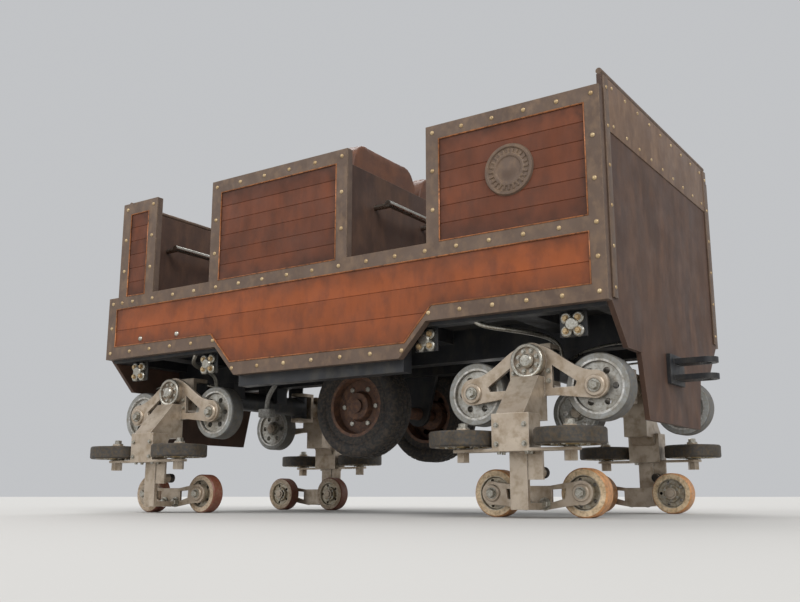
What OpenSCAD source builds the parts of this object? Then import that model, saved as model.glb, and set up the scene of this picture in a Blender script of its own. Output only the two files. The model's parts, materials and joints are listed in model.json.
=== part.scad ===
// Roller coaster car with two rows of two seats, for a track of two steel pipes.
// It stands on its up-stop wheels, as it does off the track.
// X runs along the car, positive to the front. Y runs across it, positive to
// its left side. Z is up, and zero is the floor under the lowest wheels.

/* [Body] */
// Length of the body over its skirts
body_l = 2700; // [2640:5:2760]
// Width of the body over the wall skins
body_w = 1370; // [1350:5:1400]
// Thickness of a side wall
wall_t = 30; // [20:1:36]
// Height of the skirt from its lower edge to its top
skirt_h = 318; // [290:1:340]
// Height of the wall panels above the skirt's lower edge
panel_h = 815; // [780:1:860]
// How far the middle of the skirt reaches below its ends
skirt_drop = 140; // [110:1:150]
// Width of the border strips
strip_w = 62; // [50:1:70]
// Thickness of the border strips
strip_t = 6; // [4:0.5:8]
// Thickness of the end bulkheads
bulkhead_t = 20; // [14:1:24]
// Height of the rear bulkhead above the wall panels
rear_rise = 55; // [40:1:80]
// Thickness of the panel between the two rows
divider_t = 22; // [16:1:28]
// Thickness of the floor pan
floor_t = 12; // [8:1:16]

/* [Side wall layout, measured back from the front of the body] */
// Front edge of the front post
post_front = 68; // [55:1:80]
// Rear edge of the front post
post_rear = 324; // [300:1:340]
// Front edge of the middle panel
middle_front = 716; // [690:1:740]
// Rear edge of the middle panel
middle_rear = 1539; // [1510:1:1560]
// Front edge of the rear panel
rear_front = 1944; // [1920:1:1970]
// Start of the front slope of the deep skirt
deep_start = 772; // [768:1:790]
// Start of the rear slope of the deep skirt
deep_end = 1809; // [1790:1:1820]
// Length of each slope of the deep skirt
deep_slope = 128; // [115:1:140]

/* [Rail and wheels] */
// Distance between the centres of the two rails
gauge = 990; // [980:1:1000]
// Diameter of the rail pipe
rail_d = 168; // [160:1:170]
// Height of the skirt's lower edge above the rail centre
skirt_over_rail = 495; // [485:1:520]
// Diameter of a road wheel
road_d = 250; // [236:1:256]
// Width of a road wheel
road_w = 84; // [70:1:90]
// Distance between the two road wheels of a bogie
road_pitch = 510; // [500:1:516]
// Diameter of a guide wheel
guide_d = 256; // [240:1:260]
// Width of a guide wheel
guide_w = 64; // [56:1:70]
// Distance between the two guide wheels of a bogie
guide_pitch = 432; // [428:1:440]
// Height of the guide wheels above the rail centre
guide_rise = 20; // [14:1:26]
// Diameter of an up-stop wheel
upstop_d = 180; // [170:1:186]
// Width of an up-stop wheel
upstop_w = 70; // [60:1:76]
// Distance between the two up-stop wheels of a bogie
upstop_pitch = 362; // [350:1:372]
// Radius of the wheel pins
pin_r = 15; // [12:0.5:18]
// Radial clearance of a turning pin
fit = 0.05; // [0.03:0.01:0.08]

/* [Bogies] */
// Distance of a bogie's centre from the end of the body
bogie_inset = 372; // [366:1:380]
// Distance of the kingpin from the car's centre line
kingpin_y = 400; // [396:1:404]
// Radius of the kingpin
kingpin_r = 20; // [16:1:24]
// Height of the axle beam below the skirt's lower edge
beam_drop = 180; // [176:1:186]
// Radius of the axle beam
beam_r = 50; // [44:1:54]
// Thickness of the rocker plate
rocker_t = 16; // [12:1:20]
// Radius of the hub cap
hub_r = 66; // [60:1:70]
// Width of the strut that carries the up-stop wheels
strut_w = 70; // [60:1:76]
// Thickness of the strut
strut_t = 20; // [16:1:24]
// Thickness of the flat guide arms
arm_t = 10; // [8:1:14]
// Width of the flat guide arms
arm_w = 76; // [64:1:80]

/* [Drive axle] */
// Diameter of a drive tyre
tyre_d = 460; // [440:1:470]
// Width of a drive tyre
tyre_w = 150; // [130:1:156]
// Distance between the middles of the two drive tyres
tyre_track = 600; // [590:1:610]
// Height of the drive axle above the rail centre
drive_rise = 215; // [205:1:225]
// Radius of the drive shaft
shaft_r = 30; // [26:1:34]

/* [Seats and lap bars] */
// Distance between the two rows
row_pitch = 1220; // [1200:1:1230]
// Width of one seat
seat_w = 560; // [520:1:580]
// Depth of a seat cushion
seat_depth = 430; // [410:1:440]
// Height of the top of a cushion above the floor pan
seat_top = 330; // [310:1:340]
// Height of a seat back above its cushion
back_h = 560; // [520:1:580]
// How far a seat back leans to the rear
back_lean = 90; // [70:1:110]
// Radius of the rounded top corners of a seat back
back_round = 150; // [120:1:170]
// Thickness of the padding
pad_t = 80; // [70:1:90]
// Distance of a lap bar's pivot in front of its seats
lap_ahead = 150; // [130:1:170]
// Height of a lap bar's pivot above the floor pan
lap_pivot_h = 60; // [50:1:70]
// How far a closed lap bar reaches back from its pivot
lap_reach = 310; // [290:1:330]
// Height of a closed lap bar above its seats
lap_over_seat = 150; // [130:1:170]
// Radius of the lap bar's tube
lap_r = 19; // [15:1:22]

/* [Chassis] */
// Height of the chassis frame
frame_h = 140; // [130:1:146]
// Width of a longeron
longeron_w = 80; // [70:1:84]
// Distance between the middles of the two longerons
longeron_track = 340; // [330:1:344]
// Radius of the coupling pin bores
coupler_r = 20; // [16:1:24]
// Reach of each coupler past the body
coupler_l = 180; // [160:1:200]

/* [Hidden] */
$fn = 64;

// Colours, as the photograph shows them
COPPER = "#a4562c";
BRONZE = "#5c4a34";
BROWN = "#4a3229";
BLACK = "#26282c";
STEEL = "#a9a698";
ZINC = "#c9c6bb";
LEATHER = "#7c4f34";
TREAD = "#3c3b3c";
ORANGE = "#c98a4e";

// Heights
rail_z = upstop_d + rail_d / 2;
skirt_z = rail_z + skirt_over_rail;
skirt_top = skirt_z + skirt_h;
panel_z = skirt_z + panel_h;
deep_z = skirt_z - skirt_drop;
beam_z = skirt_z - beam_drop;
road_z = rail_z + rail_d / 2 + road_d / 2;
guide_z = rail_z + guide_rise;
upstop_z = upstop_d / 2;
frame_z = skirt_z - 95;
floor_z = frame_z + frame_h;
deck_z = floor_z + floor_t;
rear_top = panel_z + rear_rise;
drive_z = rail_z + drive_rise;

// Places along and across the car
half_l = body_l / 2;
half_w = body_w / 2;
inner_w = half_w - wall_t;
rail_y = gauge / 2;
bogie_x = half_l - bogie_inset;
guide_y = rail_y + rail_d / 2 + guide_d / 2;

// The four bogies: name, sign along X, sign along Y
BOGIES = [["fl", 1, 1], ["fr", 1, -1], ["rl", -1, 1], ["rr", -1, -1]];
// The two places in a bogie: name, sign along X
PLACES = [["a", 1], ["b", -1]];
// Length of a seat from the front of its cushion to the back of its top
seat_len = seat_depth + back_lean + pad_t;
// The front edges of the two rows of seats: the rear row leans on the rear bulkhead
rear_row_x = -half_l + bulkhead_t + seat_len;
front_row_x = rear_row_x + row_pitch;
ROWS = [front_row_x, rear_row_x];

// Clearances
gap = 0.3;
side_gap = 2;
ear_gap = 5;
wheel_gap = 8;

// Converts a distance back from the front of the body to X
function from_front(d) = half_l - d;

// Lays a shape drawn in X and Z flat against y0, thickness t towards +Y
module upright(y0, t) {
  translate([0, y0 + t, 0])
    rotate([90, 0, 0])
      linear_extrude(t) children();
}

// Extrudes a shape drawn in Y and Z along X, centred
module across(w) {
  rotate([90, 0, 90])
    linear_extrude(w, center = true) children();
}

// A round bar along Y from y0 to y1
module bar_y(r, y0, y1) {
  translate([0, y0, 0])
    rotate([-90, 0, 0])
      cylinder(r = r, h = y1 - y0);
}

// Copies its children to the left and right sides
module both_sides() {
  for (s = [1, -1])
    scale_y(s) children();
}

// Mirrors across the centre plane where s is negative
module scale_y(s) {
  mirror([0, s < 0 ? 1 : 0, 0]) children();
}

// Outline of a side wall in X and Z
module wall_outline() {
  polygon([
    [half_l, skirt_z],
    [from_front(deep_start), skirt_z],
    [from_front(deep_start + deep_slope), deep_z],
    [from_front(deep_end), deep_z],
    [from_front(deep_end + deep_slope), skirt_z],
    [-half_l, skirt_z],
    [-half_l, panel_z],
    [from_front(rear_front), panel_z],
    [from_front(rear_front), skirt_top],
    [from_front(middle_rear), skirt_top],
    [from_front(middle_rear), panel_z],
    [from_front(middle_front), panel_z],
    [from_front(middle_front), skirt_top],
    [from_front(post_rear), skirt_top],
    [from_front(post_rear), panel_z],
    [from_front(post_front), panel_z],
    [from_front(post_front), skirt_top],
    [half_l, skirt_top]
  ]);
}

module side_wall(s) {
  color(COPPER)
    scale_y(s)
      upright(inner_w, wall_t) wall_outline();
}

module side_left() { side_wall(1); }

module side_right() { side_wall(-1); }

// A frame of strips round the panel from x0 to x1 and z0 to z1
module border(x0, x1, z0, z1) {
  difference() {
    translate([x0, z0]) square([x1 - x0, z1 - z0]);
    translate([x0 + strip_w, z0 + strip_w]) square([x1 - x0 - 2 * strip_w, z1 - z0 - 2 * strip_w]);
  }
}

// The skirt's outline, shrunk by inset on every side. The slopes stand at about
// 45 degrees, so their corners move along by a share of the inset.
module skirt_outline(inset) {
  shift = inset * tan(atan(skirt_drop / deep_slope) / 2);
  polygon([
    [half_l - inset, skirt_z + inset],
    [from_front(deep_start) + shift, skirt_z + inset],
    [from_front(deep_start + deep_slope) + shift, deep_z + inset],
    [from_front(deep_end) - shift, deep_z + inset],
    [from_front(deep_end + deep_slope) - shift, skirt_z + inset],
    [-half_l + inset, skirt_z + inset],
    [-half_l + inset, skirt_top - inset],
    [half_l - inset, skirt_top - inset]
  ]);
}

// The raised strips round the skirt and the panels, on the outer skin
module side_trim() {
  color(BRONZE)
    both_sides()
      upright(half_w, strip_t) {
        difference() {
          skirt_outline(0);
          skirt_outline(strip_w);
        }
        border(from_front(post_rear), from_front(post_front), skirt_top - strip_w, panel_z);
        border(from_front(middle_rear), from_front(middle_front), skirt_top - strip_w, panel_z);
        border(-half_l, from_front(rear_front), skirt_top - strip_w, panel_z);
      }
}

// Outline of an end bulkhead in Y and Z, with a notch over each road wheel
notch_y = kingpin_y - 20;
notch_z = road_z + road_d / 2 + 10;
tail_z = skirt_z - 400;
module bulkhead_outline(w, top) {
  polygon([
    [w, top],
    [w, skirt_z],
    [w - 140, notch_z],
    [notch_y, notch_z],
    [notch_y - 60, tail_z],
    [-notch_y + 60, tail_z],
    [-notch_y, notch_z],
    [-w + 140, notch_z],
    [-w, skirt_z],
    [-w, top]
  ]);
}

// The front wall steps back at the skirt's top
module front_bulkhead() {
  color(BROWN) {
    translate([half_l - bulkhead_t / 2, 0, 0])
      across(bulkhead_t) bulkhead_outline(inner_w, skirt_top);
    translate([from_front(post_front) - bulkhead_t, -inner_w, skirt_top - bulkhead_t])
      cube([post_front + bulkhead_t, 2 * inner_w, bulkhead_t]);
    translate([from_front(post_front) - bulkhead_t, -inner_w, skirt_top])
      cube([bulkhead_t, 2 * inner_w, panel_h - skirt_h]);
  }
}

module rear_bulkhead() {
  color(BROWN)
    translate([-half_l + bulkhead_t / 2, 0, 0])
      across(bulkhead_t) bulkhead_outline(inner_w, rear_top);
}

// Rolled lips along the top edges of both bulkheads
rim_r = 12;
module end_rims() {
  color(BRONZE) {
    translate([from_front(post_front) - bulkhead_t / 2, 0, panel_z + rim_r])
      bar_y(rim_r, -inner_w, inner_w);
    translate([-half_l + bulkhead_t / 2, 0, rear_top + rim_r])
      bar_y(rim_r, -inner_w, inner_w);
  }
}

// Panel between the rows, which the front seats lean on
divider_x = front_row_x - seat_len;
module row_divider() {
  color(BROWN)
    translate([divider_x - divider_t, -inner_w, deck_z])
      cube([divider_t, 2 * inner_w, panel_z - deck_z - 30]);
}

// Grab rails on the front bulkhead and on the back of the divider
grab_r = 16;
grab_out = 90;
grab_drop = 190;
grab_half = 430;
grab_end = 30;
module grab_rails() {
  color(STEEL)
    for (x = [from_front(post_front) - bulkhead_t, divider_x - divider_t])
      translate([x, 0, panel_z - grab_drop]) {
        translate([-grab_out, 0, 0]) bar_y(grab_r, -grab_half, grab_half);
        for (y = [-1, 0, 1])
          translate([-grab_out, y * (grab_half - grab_end), 0])
            rotate([0, 90, 0]) cylinder(r = grab_r - 3, h = grab_out);
      }
}

module floor_pan() {
  color(BLACK)
    translate([-half_l + bulkhead_t, -inner_w, floor_z])
      cube([body_l - 2 * bulkhead_t, 2 * inner_w, floor_t]);
}

// Ladder frame: longerons, sills, cross members and the deep side boxes
sill_w = 60;
sill_h = 60;
box_under = 50;
// The cross members: the place of the rear face of each, and its width
CROSS_MEMBERS = [
  [half_l - bulkhead_t - 60, 60],
  [bogie_x - 50, 100],
  [330, 100],
  [-430, 100],
  [-bogie_x - 50, 100],
  [-half_l + bulkhead_t, 60]
];
module chassis_frame() {
  color(BLACK) {
    both_sides() {
      translate([-half_l + bulkhead_t, longeron_track / 2 - longeron_w / 2, frame_z])
        cube([body_l - 2 * bulkhead_t, longeron_w, frame_h]);
      translate([-half_l + bulkhead_t, inner_w - sill_w, floor_z - sill_h])
        cube([body_l - 2 * bulkhead_t, sill_w, sill_h]);
      translate([from_front(deep_end), inner_w - sill_w, deep_z - box_under])
        cube([deep_end - deep_start - deep_slope, sill_w, floor_z - deep_z]);
    }
    for (m = CROSS_MEMBERS)
      translate([m[0], -inner_w, floor_z - sill_h])
        cube([m[1], 2 * inner_w, sill_h]);
  }
}

// Fixed axle beams, each with a saddle under the longerons and two kingpin bosses
boss_r = kingpin_r + 25;
boss_h = 2 * (beam_r + 8);
saddle_l = 140;
module axle_beams() {
  color(BLACK)
    for (sx = [1, -1])
      translate([sx * bogie_x, 0, 0])
        difference() {
          union() {
            translate([0, 0, beam_z]) bar_y(beam_r, -kingpin_y, kingpin_y);
            for (s = [1, -1]) {
              translate([0, s * kingpin_y, beam_z]) cylinder(r = boss_r, h = boss_h, center = true);
              translate([-saddle_l / 2, s * longeron_track / 2 - longeron_w / 2, beam_z])
                cube([saddle_l, longeron_w, frame_z - beam_z]);
            }
          }
          for (s = [1, -1])
            translate([0, s * kingpin_y, beam_z])
              cylinder(r = kingpin_r + fit, h = boss_h + 2, center = true);
        }
}

// The moving part of a bogie, drawn for the front left corner about its centre
plate_y = rail_y + road_w / 2 + wheel_gap;
low_plate_y = rail_y + upstop_w / 2 + wheel_gap;
block_in = guide_y - 57;
block_out = guide_y + arm_w / 2;
block_w = 150;
block_top = guide_z + 88;
bracket_w = 112;
arm_z = guide_z - guide_w / 2 - 6 - arm_t;
ear_t = 18;
ear_z = boss_h / 2 + ear_gap;
washer_t = 7;
washer_r = pin_r + 10;
web_t = 20;

module knuckle() {
  translate([0, kingpin_y, beam_z])
    cylinder(r = kingpin_r, h = 2 * (ear_z + ear_t), center = true);
  for (z = [beam_z + ear_z, beam_z - ear_z - ear_t]) {
    translate([0, kingpin_y, z]) cylinder(r = boss_r, h = ear_t);
    translate([-boss_r, kingpin_y, z]) cube([2 * boss_r, boss_r + 10 + web_t, ear_t]);
  }
  translate([-boss_r, kingpin_y + boss_r + 10, beam_z - ear_z - ear_t])
    cube([2 * boss_r, web_t, 2 * (ear_z + ear_t)]);
  translate([0, 0, beam_z]) {
    bar_y(boss_r, kingpin_y + boss_r + web_t, plate_y + 10);
  }
}

// Arched plate from the hub to the two road wheel pins, with a hole in each arm.
// Its upper edge is one smooth wave from pin to pin.
pin_boss_r = 46;
arch_steps = 24;
arch_top = beam_z + hub_r + 4;
arch_side = road_z + pin_boss_r + 12;
function arch_z(x) = arch_side + (arch_top - arch_side) * (1 + cos(180 * x / (road_pitch / 2))) / 2;
module rocker_outline() {
  difference() {
    union() {
      polygon(concat(
        [for (i = [-arch_steps:arch_steps]) let (x = i * road_pitch / 2 / arch_steps) [x, arch_z(x)]],
        [
          [road_pitch / 2, road_z - pin_boss_r],
          [96, road_z - 26],
          [-96, road_z - 26],
          [-road_pitch / 2, road_z - pin_boss_r]
        ]
      ));
      for (s = [1, -1])
        translate([s * road_pitch / 2, road_z + 6]) circle(r = pin_boss_r + 6);
      translate([0, beam_z]) circle(r = hub_r + 8);
    }
    for (s = [1, -1])
      polygon([
        [s * 88, road_z + 88],
        [s * 186, road_z + 20],
        [s * 178, road_z + 2],
        [s * 88, road_z + 2]
      ]);
  }
}

// Outline of the plate that carries the up-stop wheels, with a hole beside each wheel
foot_drop = 62;
module upstop_outline() {
  difference() {
    union() {
      for (s = [1, -1]) {
        translate([s * upstop_pitch / 2, upstop_z]) circle(r = 44);
        translate([s * 38, upstop_z - foot_drop + 22]) circle(r = 22);
      }
      polygon([
        [-upstop_pitch / 2, upstop_z + 42],
        [-110, upstop_z + 34],
        [-60, upstop_z + 26],
        [60, upstop_z + 26],
        [110, upstop_z + 34],
        [upstop_pitch / 2, upstop_z + 42],
        [upstop_pitch / 2, upstop_z - 42],
        [110, upstop_z - foot_drop + 12],
        [38, upstop_z - foot_drop],
        [-38, upstop_z - foot_drop],
        [-110, upstop_z - foot_drop + 12],
        [-upstop_pitch / 2, upstop_z - 42]
      ]);
    }
    for (s = [1, -1])
      polygon([
        [s * 66, upstop_z + 12],
        [s * 122, upstop_z + 16],
        [s * 118, upstop_z - 20],
        [s * 66, upstop_z - 34]
      ]);
  }
}

// Bracket from the rocker plate out to the block over the guide arms, in Y and Z
module bracket_outline() {
  polygon([
    [plate_y + rocker_t, beam_z - 60],
    [plate_y + rocker_t + 50, beam_z - 60],
    [block_out, block_top],
    [block_out, arm_z],
    [block_in, arm_z],
    [block_in, guide_z + 30],
    [block_in - 30, rail_z + rail_d / 2 + 6],
    [plate_y, rail_z + rail_d / 2 + 6],
    [plate_y, beam_z - 60]
  ]);
}

// A pin along Y that carries a wheel of width w, with its shoulder and washer
module wheel_pin(w, plate) {
  bar_y(pin_r, -w / 2 - 14, plate);
  bar_y(washer_r, w / 2 + side_gap, plate);
  bar_y(washer_r, -w / 2 - side_gap - washer_t, -w / 2 - side_gap);
}

// The flat guide arms in X and Y, with an oval slot in each
slot_r = 13;
module arm_outline() {
  difference() {
    union() {
      translate([-guide_pitch / 2, -arm_w / 2]) square([guide_pitch, arm_w]);
      for (s = [1, -1])
        translate([s * guide_pitch / 2, 0]) circle(r = arm_w / 2);
    }
    for (s = [1, -1]) {
      translate([s * 130 - 22, -slot_r]) square([44, 2 * slot_r]);
      for (x = [-22, 22])
        translate([s * 130 + x, 0]) circle(r = slot_r, $fn = 32);
    }
  }
}

// Strut down outside the rail and in to the up-stop plate, with a stop beside it
foot_t = 24;
strut_y = block_in + 15;
stop_r = 20;
stop_drop = 74;
stop_w = 60;
stop_y = rail_y + rail_d / 2 + 24;
module strut() {
  translate([-strut_w / 2, strut_y, 30]) cube([strut_w, strut_t, arm_z - 30]);
  translate([-strut_w / 2, low_plate_y, 30]) cube([strut_w, strut_y - low_plate_y, foot_t]);
  translate([-strut_w / 2 - stop_w, strut_y + 4, arm_z - stop_drop - stop_r - 6])
    cube([stop_w + 1, 12, stop_drop + stop_r + 6]);
  translate([-strut_w / 2 - stop_w / 2, 0, arm_z - stop_drop]) bar_y(stop_r, stop_y, strut_y + 5);
}

// The pin, the collars and the hex head that hold a guide wheel on its arm
head_across = 44;
head_h = 36;
module guide_pin() {
  translate([0, 0, arm_z - head_h]) cylinder(r = head_across / 2 / cos(30), h = head_h, $fn = 6);
  translate([0, 0, arm_z]) cylinder(r = pin_r, h = guide_w + 30);
  translate([0, 0, guide_z - guide_w / 2 - 6]) cylinder(r = washer_r, h = 4);
  translate([0, 0, guide_z + guide_w / 2 + side_gap]) cylinder(r = washer_r, h = washer_t);
}

// Round hub on the rocker, with a sunk face and a cap
hub_len = 34;
hub_sunk = 10;
hub_lip = 12;
hub_cap_r = 28;
module hub() {
  difference() {
    bar_y(hub_r, plate_y + rocker_t, plate_y + rocker_t + hub_len);
    bar_y(hub_r - hub_lip, plate_y + rocker_t + hub_len - hub_sunk, plate_y + rocker_t + hub_len + 1);
  }
  bar_y(hub_cap_r, plate_y + rocker_t, plate_y + rocker_t + hub_len + 4);
}

module bogie_frame() {
  knuckle();
  translate([0, 0, beam_z]) hub();
  upright(plate_y, rocker_t) rocker_outline();
  across(bracket_w) bracket_outline();
  across(block_w)
    intersection() {
      bracket_outline();
      translate([block_in, arm_z]) square([block_out, block_top - arm_z]);
    }
  translate([0, guide_y, arm_z]) linear_extrude(arm_t) arm_outline();
  for (s = [1, -1])
    translate([s * guide_pitch / 2, guide_y, 0]) guide_pin();
  strut();
  upright(low_plate_y, 12) upstop_outline();
  for (s = [1, -1]) {
    translate([s * road_pitch / 2, rail_y, road_z]) wheel_pin(road_w, plate_y - rail_y + 1);
    translate([s * upstop_pitch / 2, rail_y, upstop_z]) wheel_pin(upstop_w, low_plate_y - rail_y + 1);
  }
}

module bogie(b) {
  color(STEEL)
    translate([b[1] * bogie_x, 0, 0])
      scale_y(b[2]) bogie_frame();
}

// A wheel about the Z axis: rounded tread, dished faces, a bored hub and a ring of holes
module wheel(d, w, tread, rim_inset, holes, ring, hole_r) {
  difference() {
    rotate_extrude()
      polygon([
        [pin_r + fit, -w / 2],
        [pin_r + 22, -w / 2],
        [pin_r + 26, -w / 2 + rim_inset],
        [d / 2 - tread - 12, -w / 2 + rim_inset],
        [d / 2 - tread - 8, -w / 2 + 3],
        [d / 2 - 5, -w / 2 + 3],
        [d / 2, -w / 2 + 9],
        [d / 2, w / 2 - 9],
        [d / 2 - 5, w / 2 - 3],
        [d / 2 - tread - 8, w / 2 - 3],
        [d / 2 - tread - 12, w / 2 - rim_inset],
        [pin_r + 26, w / 2 - rim_inset],
        [pin_r + 22, w / 2],
        [pin_r + fit, w / 2]
      ]);
    for (i = [1:holes])
      rotate([0, 0, i * 360 / holes])
        translate([ring, 0, 0]) cylinder(r = hole_r, h = w, center = true, $fn = 24);
  }
}

module road_wheel(b, p) {
  color(ZINC)
    translate([b[1] * bogie_x + p[1] * road_pitch / 2, b[2] * rail_y, road_z])
      rotate([90, 0, 0]) wheel(road_d, road_w, 22, 14, 6, 65, 13);
}

module guide_wheel(b, p) {
  color(TREAD)
    translate([b[1] * bogie_x + p[1] * guide_pitch / 2, b[2] * guide_y, guide_z])
      wheel(guide_d, guide_w, 22, 8, 0, 0, 0);
}

module upstop_wheel(b, p) {
  color(ORANGE)
    translate([b[1] * bogie_x + p[1] * upstop_pitch / 2, b[2] * rail_y, upstop_z])
      rotate([90, 0, 0]) wheel(upstop_d, upstop_w, 20, 12, 5, 49, 7);
}

// Shaft and the two rims that carry the drive tyres
rim_d = 280;
module drive_axle() {
  color(BLACK)
    translate([0, 0, drive_z]) {
      bar_y(shaft_r, -tyre_track / 2 - 60, tyre_track / 2 + 60);
      both_sides()
        translate([0, tyre_track / 2, 0])
          rotate([-90, 0, 0])
            rotate_extrude()
              polygon([
                [0, -20],
                [70, -20],
                [80, 10],
                [rim_d / 2 - 20, 10],
                [rim_d / 2 - 14, -tyre_w / 2 + 12],
                [rim_d / 2, -tyre_w / 2 + 12],
                [rim_d / 2, tyre_w / 2 - 12],
                [rim_d / 2 - 14, tyre_w / 2 - 12],
                [rim_d / 2 - 20, 24],
                [70, 24],
                [60, 50],
                [0, 50]
              ]);
    }
}

// The two drive tyres, with rounded shoulders
tyre_lip = 12;
shoulder = 34;
module drive_tyres() {
  color(TREAD)
    both_sides()
      translate([0, tyre_track / 2, drive_z])
        rotate([-90, 0, 0])
          rotate_extrude()
            union() {
              translate([rim_d / 2, -tyre_w / 2 + tyre_lip])
                square([tyre_d / 2 - rim_d / 2 - shoulder, tyre_w - 2 * tyre_lip]);
              translate([tyre_d / 2 - shoulder - 1, -tyre_w / 2 + shoulder])
                square([shoulder + 1, tyre_w - 2 * shoulder]);
              for (s = [1, -1])
                translate([tyre_d / 2 - shoulder, s * (tyre_w / 2 - shoulder)])
                  circle(r = shoulder, $fn = 48);
            }
}

// Plates under the longerons that carry the drive shaft
hanger_t = 20;
hanger_r = shaft_r + 32;
hanger_top = 220;
module drive_hangers() {
  color(BLACK)
    both_sides()
      upright((longeron_track - hanger_t) / 2, hanger_t)
        difference() {
          union() {
            translate([0, drive_z]) circle(r = hanger_r);
            polygon([
              [-hanger_top / 2, frame_z],
              [hanger_top / 2, frame_z],
              [hanger_r, drive_z],
              [-hanger_r, drive_z]
            ]);
          }
          translate([0, drive_z]) circle(r = shaft_r + fit);
        }
}

// Tongue at the front and clevis at the rear, with bores for the coupling pin
coupler_z = beam_z;
coupler_w = 90;
coupler_reach = coupler_l - coupler_w / 2;
tongue_t = 36;
clevis_t = 22;
clevis_play = 4;
flange_w = 180;
flange_h = 120;
flange_t = 16;
module coupler_flange() {
  translate([0, -flange_w / 2, -flange_h / 2]) cube([flange_t, flange_w, flange_h]);
}

// A flat bar with a round end, from its flange forwards
module coupler_bar(t) {
  translate([0, -coupler_w / 2, 0]) cube([coupler_reach, coupler_w, t]);
  translate([coupler_reach, 0, 0]) cylinder(r = coupler_w / 2, h = t);
}

module couplers() {
  color(BLACK) {
    translate([half_l, 0, coupler_z])
      difference() {
        union() {
          translate([0, 0, -tongue_t / 2]) coupler_bar(tongue_t);
          coupler_flange();
        }
        translate([coupler_reach, 0, -flange_h / 2]) cylinder(r = coupler_r, h = flange_h);
      }
    translate([-half_l, 0, coupler_z])
      mirror([1, 0, 0])
        difference() {
          union() {
            for (z = [tongue_t / 2 + clevis_play, -tongue_t / 2 - clevis_play - clevis_t])
              translate([0, 0, z]) coupler_bar(clevis_t);
            coupler_flange();
          }
          translate([coupler_reach, 0, -flange_h / 2]) cylinder(r = coupler_r, h = flange_h);
        }
  }
}

// Sheet boxes under the seats, open at the top where the seats close them
plinth_t = 15;
plinth_back = 50;
plinth_h = seat_top - pad_t - 30;
module seat_plinths() {
  color(BLACK)
    for (x = ROWS)
      translate([x - seat_depth - plinth_back, -seat_w, deck_z])
        linear_extrude(plinth_h)
          difference() {
            square([seat_depth, 2 * seat_w]);
            translate([plinth_t, plinth_t]) square([seat_depth - 2 * plinth_t, 2 * seat_w - 2 * plinth_t]);
          }
}

// Side profile of a seat in X and Z, with its front edge and cushion top at zero
seat_rise = 34;
module seat_profile(extra) {
  polygon([
    [0, -pad_t + 10],
    [0, -16],
    [-22, extra],
    [-seat_depth * 0.5, extra - seat_rise * 0.4],
    [-seat_depth + extra, -seat_rise + extra],
    [-seat_depth - back_lean + extra, back_h - 30],
    [-seat_depth - back_lean - 24, back_h],
    [-seat_len + gap, back_h],
    [-seat_len + back_lean + gap, 20],
    [-seat_len + back_lean + gap, -pad_t - 30],
    [-60, -pad_t - 30]
  ]);
}

// Front view of one seat in Y and Z, with round shoulders on its back
seat_side_gap = 6;
pad_w = seat_w - 2 * seat_side_gap;
module seat_front_view() {
  translate([0, -pad_t - 40]) square([pad_w, back_h - back_round + pad_t + 40]);
  translate([back_round, 0]) square([pad_w - 2 * back_round, back_h]);
  for (y = [back_round, pad_w - back_round])
    translate([y, back_h - back_round]) circle(r = back_round, $fn = 48);
}

// Two bucket seats side by side: a pad with a raised bolster along each edge
bolster_w = 70;
bolster_h = 52;
module seat_row(x) {
  color(LEATHER)
    translate([x, 0, deck_z + seat_top])
      both_sides()
        translate([0, seat_side_gap, 0])
          intersection() {
            union() {
              upright(0, pad_w) seat_profile(0);
              upright(0, bolster_w) seat_profile(bolster_h);
              upright(pad_w - bolster_w, bolster_w) seat_profile(bolster_h);
            }
            translate([-seat_len / 2, 0, 0]) across(2 * seat_len) seat_front_view();
          }
}

module seats_front() { seat_row(front_row_x); }

module seats_rear() { seat_row(rear_row_x); }

// Clevis on the floor between the two seats, with the lap bar's pivot pin
lap_z = deck_z + lap_pivot_h;
lap_pin_r = 14;
lap_boss_w = 50;
lap_boss_r = 30;
lap_foot_w = 120;
lap_foot_t = 12;
lap_ear_t = 12;
module lap_mounts() {
  color(BLACK)
    for (x = ROWS)
      translate([x + lap_ahead, 0, 0]) {
        translate([-lap_foot_w / 2, -lap_foot_w / 2, deck_z]) cube([lap_foot_w, lap_foot_w, lap_foot_t]);
        both_sides()
          upright(lap_boss_w / 2 + 1, lap_ear_t) {
            translate([0, lap_z]) circle(r = lap_boss_r);
            translate([-lap_boss_r, deck_z + lap_foot_t]) square([2 * lap_boss_r, lap_pivot_h - lap_foot_t]);
          }
        translate([0, 0, lap_z]) bar_y(lap_pin_r, -lap_boss_w / 2 - 20, lap_boss_w / 2 + 20);
      }
}

// A bar across both seats on a post that is hinged at the floor
lap_half = seat_w - 20;
lap_rise = seat_top + lap_over_seat - lap_pivot_h;
lap_post_r = lap_r + 4;
lap_tee_w = 80;
module lap_bar(x) {
  color(BLACK)
    translate([x + lap_ahead, 0, lap_z])
      difference() {
        union() {
          bar_y(lap_boss_r, -lap_boss_w / 2, lap_boss_w / 2);
          cylinder(r = lap_post_r, h = lap_rise);
          translate([0, 0, lap_rise]) {
            sphere(r = lap_post_r + 3);
            rotate([0, -90, 0]) cylinder(r = lap_post_r, h = lap_reach);
          }
          translate([-lap_reach, 0, lap_rise]) {
            bar_y(lap_r, -lap_half, lap_half);
            bar_y(lap_post_r + 5, -lap_tee_w / 2, lap_tee_w / 2);
          }
        }
        bar_y(lap_pin_r + fit, -lap_boss_w, lap_boss_w);
      }
}

module lap_bar_front() { lap_bar(front_row_x); }

module lap_bar_rear() { lap_bar(rear_row_x); }

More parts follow.
